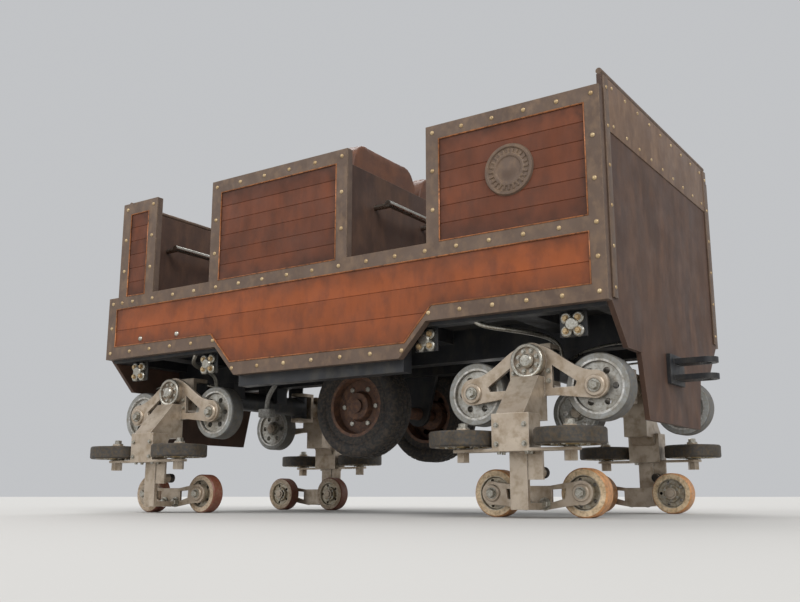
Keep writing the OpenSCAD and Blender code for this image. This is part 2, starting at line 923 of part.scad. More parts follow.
chassis_frame();
axle_beams();
drive_hangers();
couplers();
floor_pan();
side_left();
side_right();
side_trim();
front_bulkhead();
rear_bulkhead();
end_rims();
row_divider();
grab_rails();
seat_plinths();
seats_front();
seats_rear();
lap_mounts();
lap_bar_front();
lap_bar_rear();
drive_axle();
drive_tyres();
for (b = BOGIES) {
  bogie(b);
  for (p = PLACES) {
    road_wheel(b, p);
    guide_wheel(b, p);
    upstop_wheel(b, p);
  }
}
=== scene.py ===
"""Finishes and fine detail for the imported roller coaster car.

The car is sheet panels painted a weathered copper colour between riveted bronze strips, on greasy
cast bogies. This script adds what the solids leave out: boards, rivets, bolts, pipes, wheel fittings
and the padded leather seats, then the finishes, the floor, the lamps and the camera.
"""

import json
import logging
import math
import random
from dataclasses import dataclass, replace
from enum import Enum
from typing import Any, Iterable, Sequence

import bmesh
import bpy
from mathutils import Matrix, Vector
from mathutils.bvhtree import BVHTree
from mathutils.kdtree import KDTree


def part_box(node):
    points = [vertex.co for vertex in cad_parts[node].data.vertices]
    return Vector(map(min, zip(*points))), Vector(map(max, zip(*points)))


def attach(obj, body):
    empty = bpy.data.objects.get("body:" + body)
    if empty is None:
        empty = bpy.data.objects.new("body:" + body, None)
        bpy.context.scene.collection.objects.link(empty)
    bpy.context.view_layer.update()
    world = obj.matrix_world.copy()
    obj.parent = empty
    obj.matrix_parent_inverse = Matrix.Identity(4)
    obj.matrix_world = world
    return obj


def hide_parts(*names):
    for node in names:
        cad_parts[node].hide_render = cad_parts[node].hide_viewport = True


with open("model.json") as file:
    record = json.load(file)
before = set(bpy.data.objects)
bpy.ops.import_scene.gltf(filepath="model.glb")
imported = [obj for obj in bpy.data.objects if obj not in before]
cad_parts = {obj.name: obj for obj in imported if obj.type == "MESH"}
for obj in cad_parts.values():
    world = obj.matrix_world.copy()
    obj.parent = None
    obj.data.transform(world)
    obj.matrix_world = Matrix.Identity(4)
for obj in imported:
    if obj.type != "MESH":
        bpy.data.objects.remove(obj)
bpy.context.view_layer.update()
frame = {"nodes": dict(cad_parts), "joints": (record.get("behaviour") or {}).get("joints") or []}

LOG = logging.getLogger("car")
MM = 0.001
CAR = "car_body"
DRIVE = "drive_axle"
SIDES = (1, -1)
NAMED_SIDES = (("left", 1), ("right", -1))
X_AXIS = Vector((1, 0, 0))
Y_AXIS = Vector((0, 1, 0))
Z_AXIS = Vector((0, 0, 1))
# Points nearer than these are one point: in a finished piece, and where a spun profile closes
MERGE = 1e-5
SPIN_MERGE = 1e-6
# Names of the attributes that the board pieces carry
EDGE = "edge"
TONE = "tone"

Shape = bmesh.types.BMesh
Tree = bpy.types.NodeTree
Socket = bpy.types.NodeSocket
Colour = tuple[float, float, float, float]
Outline = list[tuple[float, float]]
Profile = Sequence[tuple[float, float]]


class Slot(Enum):
    """The record's material slots. The added pieces don't use them."""

    COPPER = "copper_panel"
    BRONZE = "bronze_strip"
    BROWN = "brown_panel"
    BLACK = "black_paint"
    TUBE = "polished_tube"
    LEATHER = "seat_leather"
    BAR = "bar_paint"
    BOGIE = "bogie_steel"
    TYRE = "tyre_rubber"


class WheelKind(Enum):
    """The three jobs of the wheels on a bogie. The value starts the name of each such wheel."""

    ROAD = "road"
    GUIDE = "guide"
    UPSTOP = "upstop"


# Materials


def linear(code: str) -> Colour:
    """Turns a colour as it is seen into the values that the renderer works with.

    Args:
        code: the colour as #rrggbb.

    Returns:
        Red, green and blue in linear light by the sRGB curve, and an alpha of 1.
    """
    seen = [int(code[i:i + 2], 16) / 255 for i in (1, 3, 5)]
    light = [c / 12.92 if c <= 0.04045 else ((c + 0.055) / 1.055) ** 2.4 for c in seen]
    return (light[0], light[1], light[2], 1.0)


def grey(value: float) -> Colour:
    """Returns a grey for a ramp that works as a mask."""
    return (value, value, value, 1.0)


def span(low: float, high: float, start: float, end: float) -> dict[str, float]:
    """Returns the settings that turn values from low to high into values from start to end."""
    return {"From Min": low, "From Max": high, "To Min": start, "To Max": end}


def add_node(tree: Tree, kind: str, settings: dict[Any, Any] | None = None,
             links: dict[Any, Socket] | None = None) -> bpy.types.Node:
    """Adds one node to a material, with its settings and its links.

    Args:
        tree: the material's node tree.
        kind: Blender's name of the node type.
        settings: a value for each input, by name or number, or for each property of the node.
            The key "stops" holds a colour ramp's places and colours.
        links: the output socket that feeds each input, by name or number.

    Returns:
        The new node.
    """
    node = tree.nodes.new(kind)
    for key, value in (settings or {}).items():
        if key == "stops":
            elements = node.color_ramp.elements
            while len(elements) < len(value):
                elements.new(0.5)
            for element, (place, colour) in zip(elements, value):
                element.position, element.color = place, colour
        elif isinstance(key, int) or key in node.inputs:
            node.inputs[key].default_value = value
        else:
            setattr(node, key, value)
    for key, socket in (links or {}).items():
        tree.links.new(socket, node.inputs[key])
    return node


# A noise pattern's values lie about its middle: where its highest are, and how far they spread
NOISE_TOP = 0.68
NOISE_SPREAD = 0.36
NOISE_SPAN = (0.3, 0.7)
# Half the width of a mask's edge, in the pattern's values
PATCH_SOFT = 0.2
MARK_SOFT = 0.12
RUN_SOFT = 0.16
GREASE_SOFT = 0.18
# How much a board's tone changes its brightness at most
TONE_REACH = 0.16
# The patches in millimetres, and the range of strength, in which wear and dirt break up
BREAK_MM = 16
BREAK_SPAN = span(0.35, 0.6, 0.25, 1.0)
# How much dirt and painted shade lie where a corner is open to this share of the light, from deep to open
CREVICE_SPAN = span(0.35, 0.92, 0.9, 0.0)
# How far an edge is rubbed where its rounded normal leans from the flat one, as their cosine
RUB_SPAN = span(0.985, 0.88, 0.0, 0.8)


@dataclass(frozen=True)
class Finish:
    """A surface whose colour, gloss and relief vary over it.

    Sizes are real ones in millimetres. The base colour turns to the stain in large patches, and to
    the dirt in small marks and runs. Where wear has a colour, edges are rubbed to it, and where the
    crevice colour is set, the piece's own corners and creases darken to it by how little light
    reaches them: dirt there, and painted shade.
    """

    name: str
    base: str
    stain: str
    dirt: str
    patch_mm: float = 240
    mark_mm: float = 22
    run: float = 1.0
    stain_share: float = 0.5
    dirt_share: float = 0.35
    rough: tuple[float, float] = (0.4, 0.7)
    metal: float = 0.0
    grain_mm: float = 2.0
    relief_mm: float = 0.25
    specular: float = 0.5
    wear: str = ""
    round_mm: float = 2.0
    # Corners darken to the crevice colour by how little light reaches them: dirt and painted shade
    crevice_dirt_and_shade: str = ""
    crevice_mm: float = 24

    def material(self) -> bpy.types.Material:
        """Makes the material, or finds the one that was made before.

        Returns:
            The material.
        """
        made = bpy.data.materials.get(self.name)
        if made:
            return made
        made = bpy.data.materials.new(self.name)
        made.use_nodes = True
        tree = made.node_tree
        tree.nodes.clear()
        place = add_node(tree, "ShaderNodeTexCoord").outputs["Object"]
        plain, height = self.colour(tree, place)
        bump = add_node(tree, "ShaderNodeBump", {"Strength": 1.0, "Distance": self.relief_mm * MM},
                        {"Height": height})
        if self.wear:
            tree.links.new(self.rounded(tree), bump.inputs["Normal"])
        shader = add_node(tree, "ShaderNodeBsdfPrincipled",
                          {"Metallic": self.metal, "Specular IOR Level": self.specular},
                          {"Base Color": self.aged(tree, plain, place), "Normal": bump.outputs[0],
                           **self.polish(tree, place)})
        add_node(tree, "ShaderNodeOutputMaterial", {}, {"Surface": shader.outputs[0]})
        return made

    def colour(self, tree: Tree, place: Socket) -> tuple[Socket, Socket]:
        """Builds the pattern of colour and relief.

        Args:
            tree: the material's node tree.
            place: the socket that gives the place on the piece.

        Returns:
            The sockets with the colour and with the height of the relief.
        """
        patches = self.mask(tree, self.pattern(tree, place, self.patch_mm, 5), self.stain_share, PATCH_SOFT)
        marks = self.mask(tree, self.pattern(tree, place, self.mark_mm, 6, (1, 1, self.run)), self.dirt_share,
                          MARK_SOFT)
        stained = add_node(tree, "ShaderNodeMixRGB",
                           {"Color1": linear(self.base), "Color2": linear(self.stain)}, {"Fac": patches})
        dirty = add_node(tree, "ShaderNodeMixRGB", {"Color2": linear(self.dirt)},
                         {"Fac": marks, "Color1": stained.outputs[0]})
        return dirty.outputs[0], self.pattern(tree, place, self.grain_mm, 4)

    def polish(self, tree: Tree, place: Socket) -> dict[str, Socket]:
        """Varies the gloss in patches twice as wide as the marks.

        Args:
            tree: the material's node tree.
            place: the socket that gives the place on the piece.

        Returns:
            The socket that feeds each input of the shader.
        """
        patches = self.pattern(tree, place, self.mark_mm * 2, 3)
        rough = add_node(tree, "ShaderNodeMapRange", span(*NOISE_SPAN, *self.rough), {"Value": patches})
        return {"Roughness": rough.outputs[0]}

    def aged(self, tree: Tree, colour: Socket, place: Socket) -> Socket:
        """Darkens the corners with dirt and painted shade, and rubs the edges.

        Args:
            tree: the material's node tree.
            colour: the socket with the colour so far.
            place: the socket that gives the place on the piece.

        Returns:
            The socket with the aged colour.
        """
        if not (self.wear or self.crevice_dirt_and_shade):
            return colour
        broken = add_node(tree, "ShaderNodeMapRange", BREAK_SPAN,
                          {"Value": self.pattern(tree, place, BREAK_MM, 4)}).outputs[0]
        # Painted shade and dirt: the corners darken by how little light reaches them
        if self.crevice_dirt_and_shade:
            shade = add_node(tree, "ShaderNodeAmbientOcclusion",
                             {"samples": 4, "only_local": True, "Distance": self.crevice_mm * MM})
            dirt_and_shade = add_node(tree, "ShaderNodeMapRange", CREVICE_SPAN, {"Value": shade.outputs["AO"]})
            colour = self.laid(tree, self.crevice_dirt_and_shade, colour, dirt_and_shade.outputs[0], broken)
        if self.wear:
            flat = add_node(tree, "ShaderNodeNewGeometry").outputs["Normal"]
            lean = add_node(tree, "ShaderNodeVectorMath", {"operation": "DOT_PRODUCT"},
                            {0: self.rounded(tree), 1: flat})
            rubbed = add_node(tree, "ShaderNodeMapRange", RUB_SPAN, {"Value": lean.outputs["Value"]})
            colour = self.laid(tree, self.wear, colour, rubbed.outputs[0], broken)
        return colour

    def laid(self, tree: Tree, code: str, colour: Socket, where: Socket, broken: Socket) -> Socket:
        """Lays a colour over another where two masks are both strong.

        Args:
            tree: the material's node tree.
            code: the colour on top, as #rrggbb.
            colour: the socket with the colour below.
            where: the socket with the first mask.
            broken: the socket with the second one.

        Returns:
            The socket with the covered colour.
        """
        mask = add_node(tree, "ShaderNodeMath", {"operation": "MULTIPLY"}, {0: where, 1: broken})
        return add_node(tree, "ShaderNodeMixRGB", {"Color2": linear(code)},
                        {"Fac": mask.outputs[0], "Color1": colour}).outputs[0]

    def rounded(self, tree: Tree) -> Socket:
        """Returns the socket with normals that turn smoothly round an edge."""
        return add_node(tree, "ShaderNodeBevel", {"samples": 4, "Radius": self.round_mm * MM}).outputs[0]

    def pattern(self, tree: Tree, place: Socket, size_mm: float, detail: float,
                stretch: tuple[float, float, float] = (1, 1, 1)) -> Socket:
        """Lays a cloudy pattern over the piece.

        Args:
            tree: the material's node tree.
            place: the socket that gives the place on the piece.
            size_mm: the size of a patch.
            detail: how many finer layers lie on it.
            stretch: how much longer the patches are along each axis.

        Returns:
            The socket with the pattern's value, from 0 to 1.
        """
        scaled = add_node(tree, "ShaderNodeMapping",
                          {"Scale": [1 / (size_mm * MM * s) for s in stretch]}, {"Vector": place})
        return add_node(tree, "ShaderNodeTexNoise", {"Scale": 1.0, "Detail": detail, "Roughness": 0.6},
                        {"Vector": scaled.outputs[0]}).outputs[0]

    def mask(self, tree: Tree, value: Socket, share: float, soft: float) -> Socket:
        """Turns a pattern into a mask that covers about a share of the surface.

        Args:
            tree: the material's node tree.
            value: the socket with the pattern.
            share: the share that is covered.
            soft: half the width of the mask's edge, in the pattern's values.

        Returns:
            The socket with the mask.
        """
        middle = NOISE_TOP - NOISE_SPREAD * share
        stops = [(middle - soft, grey(0)), (middle + soft, grey(1))]
        return add_node(tree, "ShaderNodeValToRGB", {"stops": stops}, {"Fac": value}).outputs[0]


@dataclass(frozen=True)
class SheetPaint(Finish):
    """Paint on upright sheet metal: soft patches, runs of grime, and dirt along the edges of boards.

    A piece can carry two attributes: EDGE is 1 at the rim of a panel and 0 inside it, and TONE makes
    a board lighter or darker. Where rim has a colour, the wall's narrow faces, which look along it or
    up, are painted like its strips.
    """

    soot: str = "#3b2016"
    run_mm: float = 46
    run_long: float = 6
    run_share: float = 0.38
    run_fade: float = 0.3
    edge_mm: float = 70
    edge_least: float = 0.25
    edge_fade: float = 0.75
    rim: str = ""
    rim_stain: str = ""
    rim_mm: float = 60
    brush_mm: float = 3
    brush_long: float = 40
    brush_depth: float = 0.6

    def colour(self, tree: Tree, place: Socket) -> tuple[Socket, Socket]:
        """Adds each board's tone and the grime to the plain pattern, and brushed lines to its relief.

        Args:
            tree: the material's node tree.
            place: the socket that gives the place on the piece.

        Returns:
            The sockets with the colour and with the height of the relief.
        """
        plain, grain = super().colour(tree, place)
        tone = add_node(tree, "ShaderNodeAttribute", {"attribute_name": TONE})
        value = add_node(tree, "ShaderNodeMath", {"operation": "MULTIPLY_ADD", 1: TONE_REACH, 2: 1.0},
                         {0: tone.outputs["Fac"]})
        toned = add_node(tree, "ShaderNodeHueSaturation", {}, {"Value": value.outputs[0], "Color": plain})
        streaked = add_node(tree, "ShaderNodeMixRGB", {"Color2": linear(self.soot)},
                            {"Fac": self.grime(tree, place), "Color1": toned.outputs[0]})
        brushed = self.pattern(tree, place, self.brush_mm, 3, (self.brush_long, self.brush_long, 1))
        height = add_node(tree, "ShaderNodeMath", {"operation": "MULTIPLY_ADD", 1: self.brush_depth},
                          {0: brushed, 2: grain})
        return self.rimmed(tree, streaked.outputs[0], place), height.outputs[0]

    def grime(self, tree: Tree, place: Socket) -> Socket:
        """Builds the mask of the soot: upright runs, and an uneven line along the edges of a panel.

        Args:
            tree: the material's node tree.
            place: the socket that gives the place on the piece.

        Returns:
            The socket with the mask.
        """
        runs = self.mask(tree, self.pattern(tree, place, self.run_mm, 5, (1, 1, self.run_long)),
                         self.run_share, RUN_SOFT)
        faded = add_node(tree, "ShaderNodeMath", {"operation": "MULTIPLY", 1: self.run_fade}, {0: runs})
        edge = add_node(tree, "ShaderNodeAttribute", {"attribute_name": EDGE})
        uneven = add_node(tree, "ShaderNodeMapRange", span(0.3, 0.62, self.edge_least, self.edge_fade),
                          {"Value": self.pattern(tree, place, self.edge_mm, 5)})
        rim = add_node(tree, "ShaderNodeMath", {"operation": "MULTIPLY"},
                       {0: edge.outputs["Fac"], 1: uneven.outputs[0]})
        return add_node(tree, "ShaderNodeMath", {"operation": "MAXIMUM"},
                        {0: faded.outputs[0], 1: rim.outputs[0]}).outputs[0]

    def rimmed(self, tree: Tree, colour: Socket, place: Socket) -> Socket:
        """Paints the faces that don't look sideways in the rim's two colours.

        Args:
            tree: the material's node tree.
            colour: the socket with the colour of the wall's broad faces.
            place: the socket that gives the place on the piece.

        Returns:
            The socket with both coats.
        """
        if not self.rim:
            return colour
        patches = self.mask(tree, self.pattern(tree, place, self.rim_mm, 5), 0.5, PATCH_SOFT)
        strip = add_node(tree, "ShaderNodeMixRGB",
                         {"Color1": linear(self.rim), "Color2": linear(self.rim_stain)}, {"Fac": patches})
        looks = add_node(tree, "ShaderNodeSeparateXYZ", {},
                         {0: add_node(tree, "ShaderNodeTexCoord").outputs["Normal"]})
        sideways = add_node(tree, "ShaderNodeMath", {"operation": "ABSOLUTE"}, {0: looks.outputs["Y"]})
        narrow = add_node(tree, "ShaderNodeMath", {"operation": "LESS_THAN", 1: 0.5},
                          {0: sideways.outputs[0]})
        return add_node(tree, "ShaderNodeMixRGB", {},
                        {"Fac": narrow.outputs[0], "Color1": colour, "Color2": strip.outputs[0]}).outputs[0]


@dataclass(frozen=True)
class Zone:
    """A ring on a wheel: where it starts as a share of the radius, its colour, roughness and metal."""

    start: float
    colour: str
    rough: float
    metal: float


@dataclass(frozen=True)
class WheelFinish(Finish):
    """A wheel in rings from the hub to the tread, with turning marks and grease.

    The middle of the disc has the base colour, the first roughness and the metal of the finish, and
    each zone goes on from there. Grease lies on all of them, and the stain darkens them in patches.
    """

    zones: tuple[Zone, ...] = ()
    centre: tuple[float, float, float] = (0, 0, 0)
    axis: str = "Y"
    radius: float = 0.1
    ring_mm: float = 5
    ring_depth: float = 0.35

    def colour(self, tree: Tree, place: Socket) -> tuple[Socket, Socket]:
        """Builds the rings of colour with their grease, and the turning marks.

        Args:
            tree: the material's node tree.
            place: the socket that gives the place on the piece.

        Returns:
            The sockets with the colour and with the height of the relief.
        """
        radius = self.distance(tree, place)
        rings = self.ringed(tree, radius, [linear(self.base)] + [linear(zone.colour) for zone in self.zones])
        grease = self.mask(tree, self.pattern(tree, place, self.mark_mm, 5), self.dirt_share, GREASE_SOFT)
        dirty = add_node(tree, "ShaderNodeMixRGB", {"Color2": linear(self.dirt)},
                         {"Fac": grease, "Color1": rings})
        patches = self.mask(tree, self.pattern(tree, place, self.patch_mm, 4), self.stain_share, PATCH_SOFT)
        stained = add_node(tree, "ShaderNodeMixRGB", {"Color2": linear(self.stain), "blend_type": "MULTIPLY"},
                           {"Fac": patches, "Color1": dirty.outputs[0]})
        phase = add_node(tree, "ShaderNodeMath", {"operation": "MULTIPLY", 1: math.tau / (self.ring_mm * MM)},
                         {0: radius})
        marks = add_node(tree, "ShaderNodeMath", {"operation": "SINE"}, {0: phase.outputs[0]})
        relief = add_node(tree, "ShaderNodeMath", {"operation": "MULTIPLY_ADD", 1: self.ring_depth},
                          {0: marks.outputs[0], 2: self.pattern(tree, place, self.grain_mm, 4)})
        return stained.outputs[0], relief.outputs[0]

    def polish(self, tree: Tree, place: Socket) -> dict[str, Socket]:
        """Gives each ring its own roughness and metal.

        Args:
            tree: the material's node tree.
            place: the socket that gives the place on the piece.

        Returns:
            The socket that feeds each input of the shader.
        """
        radius = self.distance(tree, place)
        roughs = [grey(self.rough[0])] + [grey(zone.rough) for zone in self.zones]
        metals = [grey(self.metal)] + [grey(zone.metal) for zone in self.zones]
        return {"Roughness": self.ringed(tree, radius, roughs), "Metallic": self.ringed(tree, radius, metals)}

    def distance(self, tree: Tree, place: Socket) -> Socket:
        """Measures how far a point lies from the wheel's axis.

        Args:
            tree: the material's node tree.
            place: the socket that gives the place on the piece.

        Returns:
            The socket with the distance in metres.
        """
        centred = add_node(tree, "ShaderNodeMapping", {"Location": [-c for c in self.centre]},
                           {"Vector": place})
        flat = {"X": (0, 1, 1), "Y": (1, 0, 1), "Z": (1, 1, 0)}[self.axis]
        across = add_node(tree, "ShaderNodeVectorMath", {"operation": "MULTIPLY", 1: flat},
                          {0: centred.outputs[0]})
        return add_node(tree, "ShaderNodeVectorMath", {"operation": "LENGTH"},
                        {0: across.outputs[0]}).outputs["Value"]

    def ringed(self, tree: Tree, radius: Socket, values: Sequence[Colour]) -> Socket:
        """Gives the disc's middle and each zone a value of its own, with hard borders.

        Args:
            tree: the material's node tree.
            radius: the socket with the distance to the axis.
            values: the value of the middle, then one for each zone.

        Returns:
            The socket with the rings.
        """
        share = add_node(tree, "ShaderNodeMath", {"operation": "DIVIDE", 1: self.radius}, {0: radius})
        starts = [0.0] + [zone.start for zone in self.zones]
        ramp = add_node(tree, "ShaderNodeValToRGB", {"stops": list(zip(starts, values))},
                        {"Fac": share.outputs[0]})
        ramp.color_ramp.interpolation = "CONSTANT"
        return ramp.outputs[0]


@dataclass(frozen=True)
class Hide(Finish):
    """Upholstery leather: rounded pebbles of grain a few millimetres wide, and creases."""

    pebble_mm: float = 5
    pebble_depth: float = 1.6

    def colour(self, tree: Tree, place: Socket) -> tuple[Socket, Socket]:
        """Adds the pebbled grain to the plain pattern.

        Args:
            tree: the material's node tree.
            place: the socket that gives the place on the piece.

        Returns:
            The sockets with the colour and with the height of the relief.
        """
        plain, creases = super().colour(tree, place)
        scaled = add_node(tree, "ShaderNodeMapping", {"Scale": [1 / (self.pebble_mm * MM)] * 3},
                          {"Vector": place})
        pebbles = add_node(tree, "ShaderNodeTexVoronoi", {"feature": "DISTANCE_TO_EDGE", "Scale": 1.0},
                           {"Vector": scaled.outputs[0]})
        height = add_node(tree, "ShaderNodeMath", {"operation": "MULTIPLY_ADD", 1: self.pebble_depth},
                          {0: pebbles.outputs[0], 2: creases})
        return plain, height.outputs[0]


# Copper-coloured paint on steel sheet: orange brown, weathered to red brown in patches, with faint runs
COPPER_PAINT = SheetPaint("copper_paint", "#9b4f24", "#864622", "#783e22", patch_mm=420, mark_mm=64, run=1.9,
                          stain_share=0.45, dirt_share=0.24, rough=(0.46, 0.68), relief_mm=0.3, specular=0.35,
                          soot="#4d2e1e", run_mm=40, run_fade=0.24)
# The same coat on the walls that carry the boards, whose narrow rims are bronze like the strips
WALL_PAINT = replace(COPPER_PAINT, name="wall_paint", rim="#6c5a4d", rim_stain="#564740", wear="#a58e72")
# The darker coat on the panels over the skirt: red brown, sooty towards the strips
PANEL_PAINT = SheetPaint("panel_paint", "#763f24", "#643724", "#5a3321", patch_mm=380, mark_mm=70, run=1.9,
                         dirt_share=0.24, rough=(0.46, 0.68), relief_mm=0.3, specular=0.3, soot="#38241b",
                         edge_fade=0.85)
# The same paint on the raised beads, lighter all over as a painted highlight along the frames' inner edges
BEAD_HIGHLIGHT_PAINT = Finish("bead_highlight_paint", "#b87646", "#8f5733", "#5f3e2a", patch_mm=160, mark_mm=18, dirt_share=0.3,
                    rough=(0.3, 0.5), metal=0.3, relief_mm=0.1)
# Bronze paint on flat steel strip: dull grey-brown, rubbed lighter along its edges
BRONZE_PAINT = Finish("bronze_paint", "#6c5a4d", "#5c4b40", "#78624f", patch_mm=220, mark_mm=34, run=1.5,
                      dirt_share=0.28, rough=(0.42, 0.64), metal=0.2, specular=0.4, wear="#a58e72",
                      round_mm=2.2)
# Brown paint on the end sheets: dull brown with long runs of grime
BROWN_PAINT = SheetPaint("brown_paint", "#5a4336", "#493730", "#664b3b", patch_mm=460, mark_mm=90, run=2,
                         dirt_share=0.3, rough=(0.5, 0.74), relief_mm=0.3, specular=0.35, soot="#31261f",
                         run_mm=60, run_share=0.42, wear="#8f7765", round_mm=3)
# The sheet along the top of the end walls, painted lighter than the wall below as painted light on its upper
# part
LIT_BAND_PAINT = SheetPaint("lit_band_paint", "#77604f", "#665144", "#846b57", patch_mm=300, mark_mm=60, run=2,
                        dirt_share=0.28, rough=(0.45, 0.68), relief_mm=0.3, specular=0.35, soot="#43342b",
                        run_fade=0.25, wear="#a58e78")
# Black chassis paint: semi-gloss under road dust
CHASSIS_PAINT = Finish("chassis_paint", "#25272b", "#1c1d20", "#3a3732", patch_mm=220, mark_mm=46, run=2,
                       dirt_share=0.28, rough=(0.35, 0.62), wear="#54504a", round_mm=3)
# Sheet steel painted dark: shoe dust lies on it
FLOOR_PAINT = Finish("floor_paint", "#34322f", "#292827", "#45413b", mark_mm=50, dirt_share=0.28,
                     rough=(0.5, 0.8), relief_mm=0.4, grain_mm=6)
# Stainless tube, polished by hands
STAINLESS = Finish("stainless_tube", "#b9b6ae", "#9a968c", "#7d7566", patch_mm=90, mark_mm=9, metal=1.0,
                   dirt_share=0.15, rough=(0.2, 0.42), relief_mm=0.05)
# Upholstery leather: brown, with painted shade where it creases
SADDLE_HIDE = Hide("saddle_hide", "#65402c", "#573625", "#734a33", patch_mm=200, mark_mm=60,
                   rough=(0.42, 0.6), relief_mm=0.35, grain_mm=14, specular=0.4, crevice_dirt_and_shade="#2e1c14",
                   crevice_mm=22)
# Piping on the leather: the same hide, dyed darker
PIPING_HIDE = Hide("piping_hide", "#3a241a", "#2c1b14", "#553624", patch_mm=60, mark_mm=9, rough=(0.35, 0.5),
                   relief_mm=0.15, grain_mm=6)
# Powder coat on the lap bars: satin black, worn to metal at the ends
BAR_COAT = Finish("bar_coat", "#29292b", "#202023", "#38363a", patch_mm=120, mark_mm=30, dirt_share=0.3,
                  rough=(0.32, 0.5), relief_mm=0.12, wear="#77726a")
# Closed-cell foam sleeves: dull, finely pitted
SLEEVE_FOAM = Finish("sleeve_foam", "#2d2c2c", "#262525", "#363432", patch_mm=90, mark_mm=26,
                     rough=(0.75, 0.92), relief_mm=0.6, grain_mm=2.5)
# Cast and plate steel of the bogies: silver grey with a brown film of grease, and dirt and painted shade in
# its corners
BOGIE_STEEL = Finish("bogie_steel_cast", "#c8baa8", "#ab9b89", "#9c8a74", patch_mm=130, mark_mm=42,
                     stain_share=0.45, dirt_share=0.28, rough=(0.3, 0.5), metal=0.6, relief_mm=0.3,
                     grain_mm=3, wear="#ebe3d5", round_mm=3, crevice_dirt_and_shade="#40352a", crevice_mm=30)
# Zinc-plated bolts: bright, with a dull bloom
ZINC = Finish("zinc_plate", "#c9c7be", "#a6a297", "#7b705d", patch_mm=40, mark_mm=6, metal=0.9,
              dirt_share=0.25, rough=(0.25, 0.45), relief_mm=0.05)
# Brass rivets, dulled
BRASS = Finish("rivet_brass", "#d2bb93", "#a98c63", "#6e583d", patch_mm=60, mark_mm=5, metal=0.5,
               dirt_share=0.2, rough=(0.3, 0.5), relief_mm=0.05)
# Steel rims of the big tyres: brown paint over rust, with dirt and painted shade in their corners
RIM_PAINT = Finish("rim_paint", "#64493c", "#4b372e", "#7d5942", patch_mm=80, mark_mm=18, rough=(0.45, 0.7),
                   metal=0.2, relief_mm=0.4, crevice_dirt_and_shade="#241c17", crevice_mm=40)
# Tyre rubber: nearly black with brown dust
TYRE_RUBBER = Finish("tyre_rubber_black", "#2b2a2a", "#201f1f", "#4d4339", patch_mm=90, mark_mm=14,
                     dirt_share=0.38, rough=(0.68, 0.88), relief_mm=0.4)
# Air hose: grey rubber
HOSE_RUBBER = Finish("hose_rubber", "#8b8a84", "#6d6c67", "#56504a", patch_mm=60, mark_mm=7, rough=(0.5, 0.7),
                     relief_mm=0.1)
# Cast aluminium disc with a bonded light grey tread, darker where it runs, with dirt and painted shade in its
# corners
ROAD_CAST = WheelFinish("road_cast", "#96918a", "#d6d0c4", "#7d7464", patch_mm=60, mark_mm=12,
                        stain_share=0.4, dirt_share=0.2, rough=(0.4, 0.4), metal=0.7, relief_mm=0.2,
                        crevice_dirt_and_shade="#3d3226", crevice_mm=20,
                        zones=(Zone(0.30, "#c6c5c0", 0.32, 0.75), Zone(0.74, "#deddda", 0.28, 0.75),
                               Zone(0.82, "#999b9a", 0.5, 0.0), Zone(0.965, "#646566", 0.6, 0.0)))
# Cast disc under brown grease, with a bonded dark tread, and the same dirt and painted shade in its corners
GUIDE_CAST = replace(ROAD_CAST, name="guide_cast", base="#8f8468", stain="#c9bb9e", dirt="#5f503a",
                     dirt_share=0.3, rough=(0.42, 0.42), metal=0.6,
                     zones=(Zone(0.30, "#b09c74", 0.34, 0.7), Zone(0.40, "#8f8064", 0.42, 0.6),
                            Zone(0.70, "#b0a284", 0.36, 0.7), Zone(0.82, "#3b3a39", 0.62, 0.0)))
# Cast wheel with a bonded tread and a cream edge: peach at the rear, with the same dirt and painted shade in
# its corners
PEACH_CAST = replace(ROAD_CAST, name="peach_cast", base="#9d9788", stain="#ddd2bf", dirt="#8a7459",
                     dirt_share=0.22,
                     zones=(Zone(0.38, "#c9c3b4", 0.34, 0.7), Zone(0.72, "#e8d0ad", 0.5, 0.0),
                            Zone(0.94, "#d89d68", 0.45, 0.0)))
# The same with a red-brown tread, at the front
RED_CAST = replace(PEACH_CAST, name="red_cast",
                   zones=(Zone(0.38, "#c9c3b4", 0.34, 0.7), Zone(0.72, "#d3bfa8", 0.5, 0.0),
                          Zone(0.94, "#84493a", 0.45, 0.0)))

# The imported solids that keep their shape, and the finish of each
NODE_FINISHES = {
    WALL_PAINT: ("side_left", "side_right"),
    BRONZE_PAINT: ("side_trim", "end_rims"),
    BROWN_PAINT: ("front_bulkhead", "rear_bulkhead", "row_divider"),
    CHASSIS_PAINT: ("chassis_frame", "axle_beams", "drive_hangers", "couplers", "seat_plinths", "lap_mounts"),
    FLOOR_PAINT: ("floor_pan",),
    STAINLESS: ("grab_rails",),
    BAR_COAT: ("lap_bar_front", "lap_bar_rear"),
    BOGIE_STEEL: ("bogie_fl", "bogie_fr", "bogie_rl", "bogie_rr"),
    RIM_PAINT: ("drive_axle",),
    TYRE_RUBBER: ("drive_tyres",),
}


def dress_node(name: str, finish: Finish) -> None:
    """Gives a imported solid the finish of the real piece.

    Args:
        name: the solid's node.
        finish: what the real piece is made of.
    """
    materials = frame["nodes"][name].data.materials
    materials.clear()
    materials.append(finish.material())


# Mesh helpers


def soften(mesh: bpy.types.Mesh, degrees: float) -> None:
    """Shades a mesh smooth and keeps its sharp edges.

    Args:
        mesh: the mesh.
        degrees: how far it may turn at an edge that is shaded smooth.
    """
    mesh.shade_smooth()
    work = bmesh.new()
    work.from_mesh(mesh)
    for edge in work.edges:
        edge.smooth = len(edge.link_faces) == 2 and edge.calc_face_angle() < math.radians(degrees)
    work.to_mesh(mesh)
    work.free()


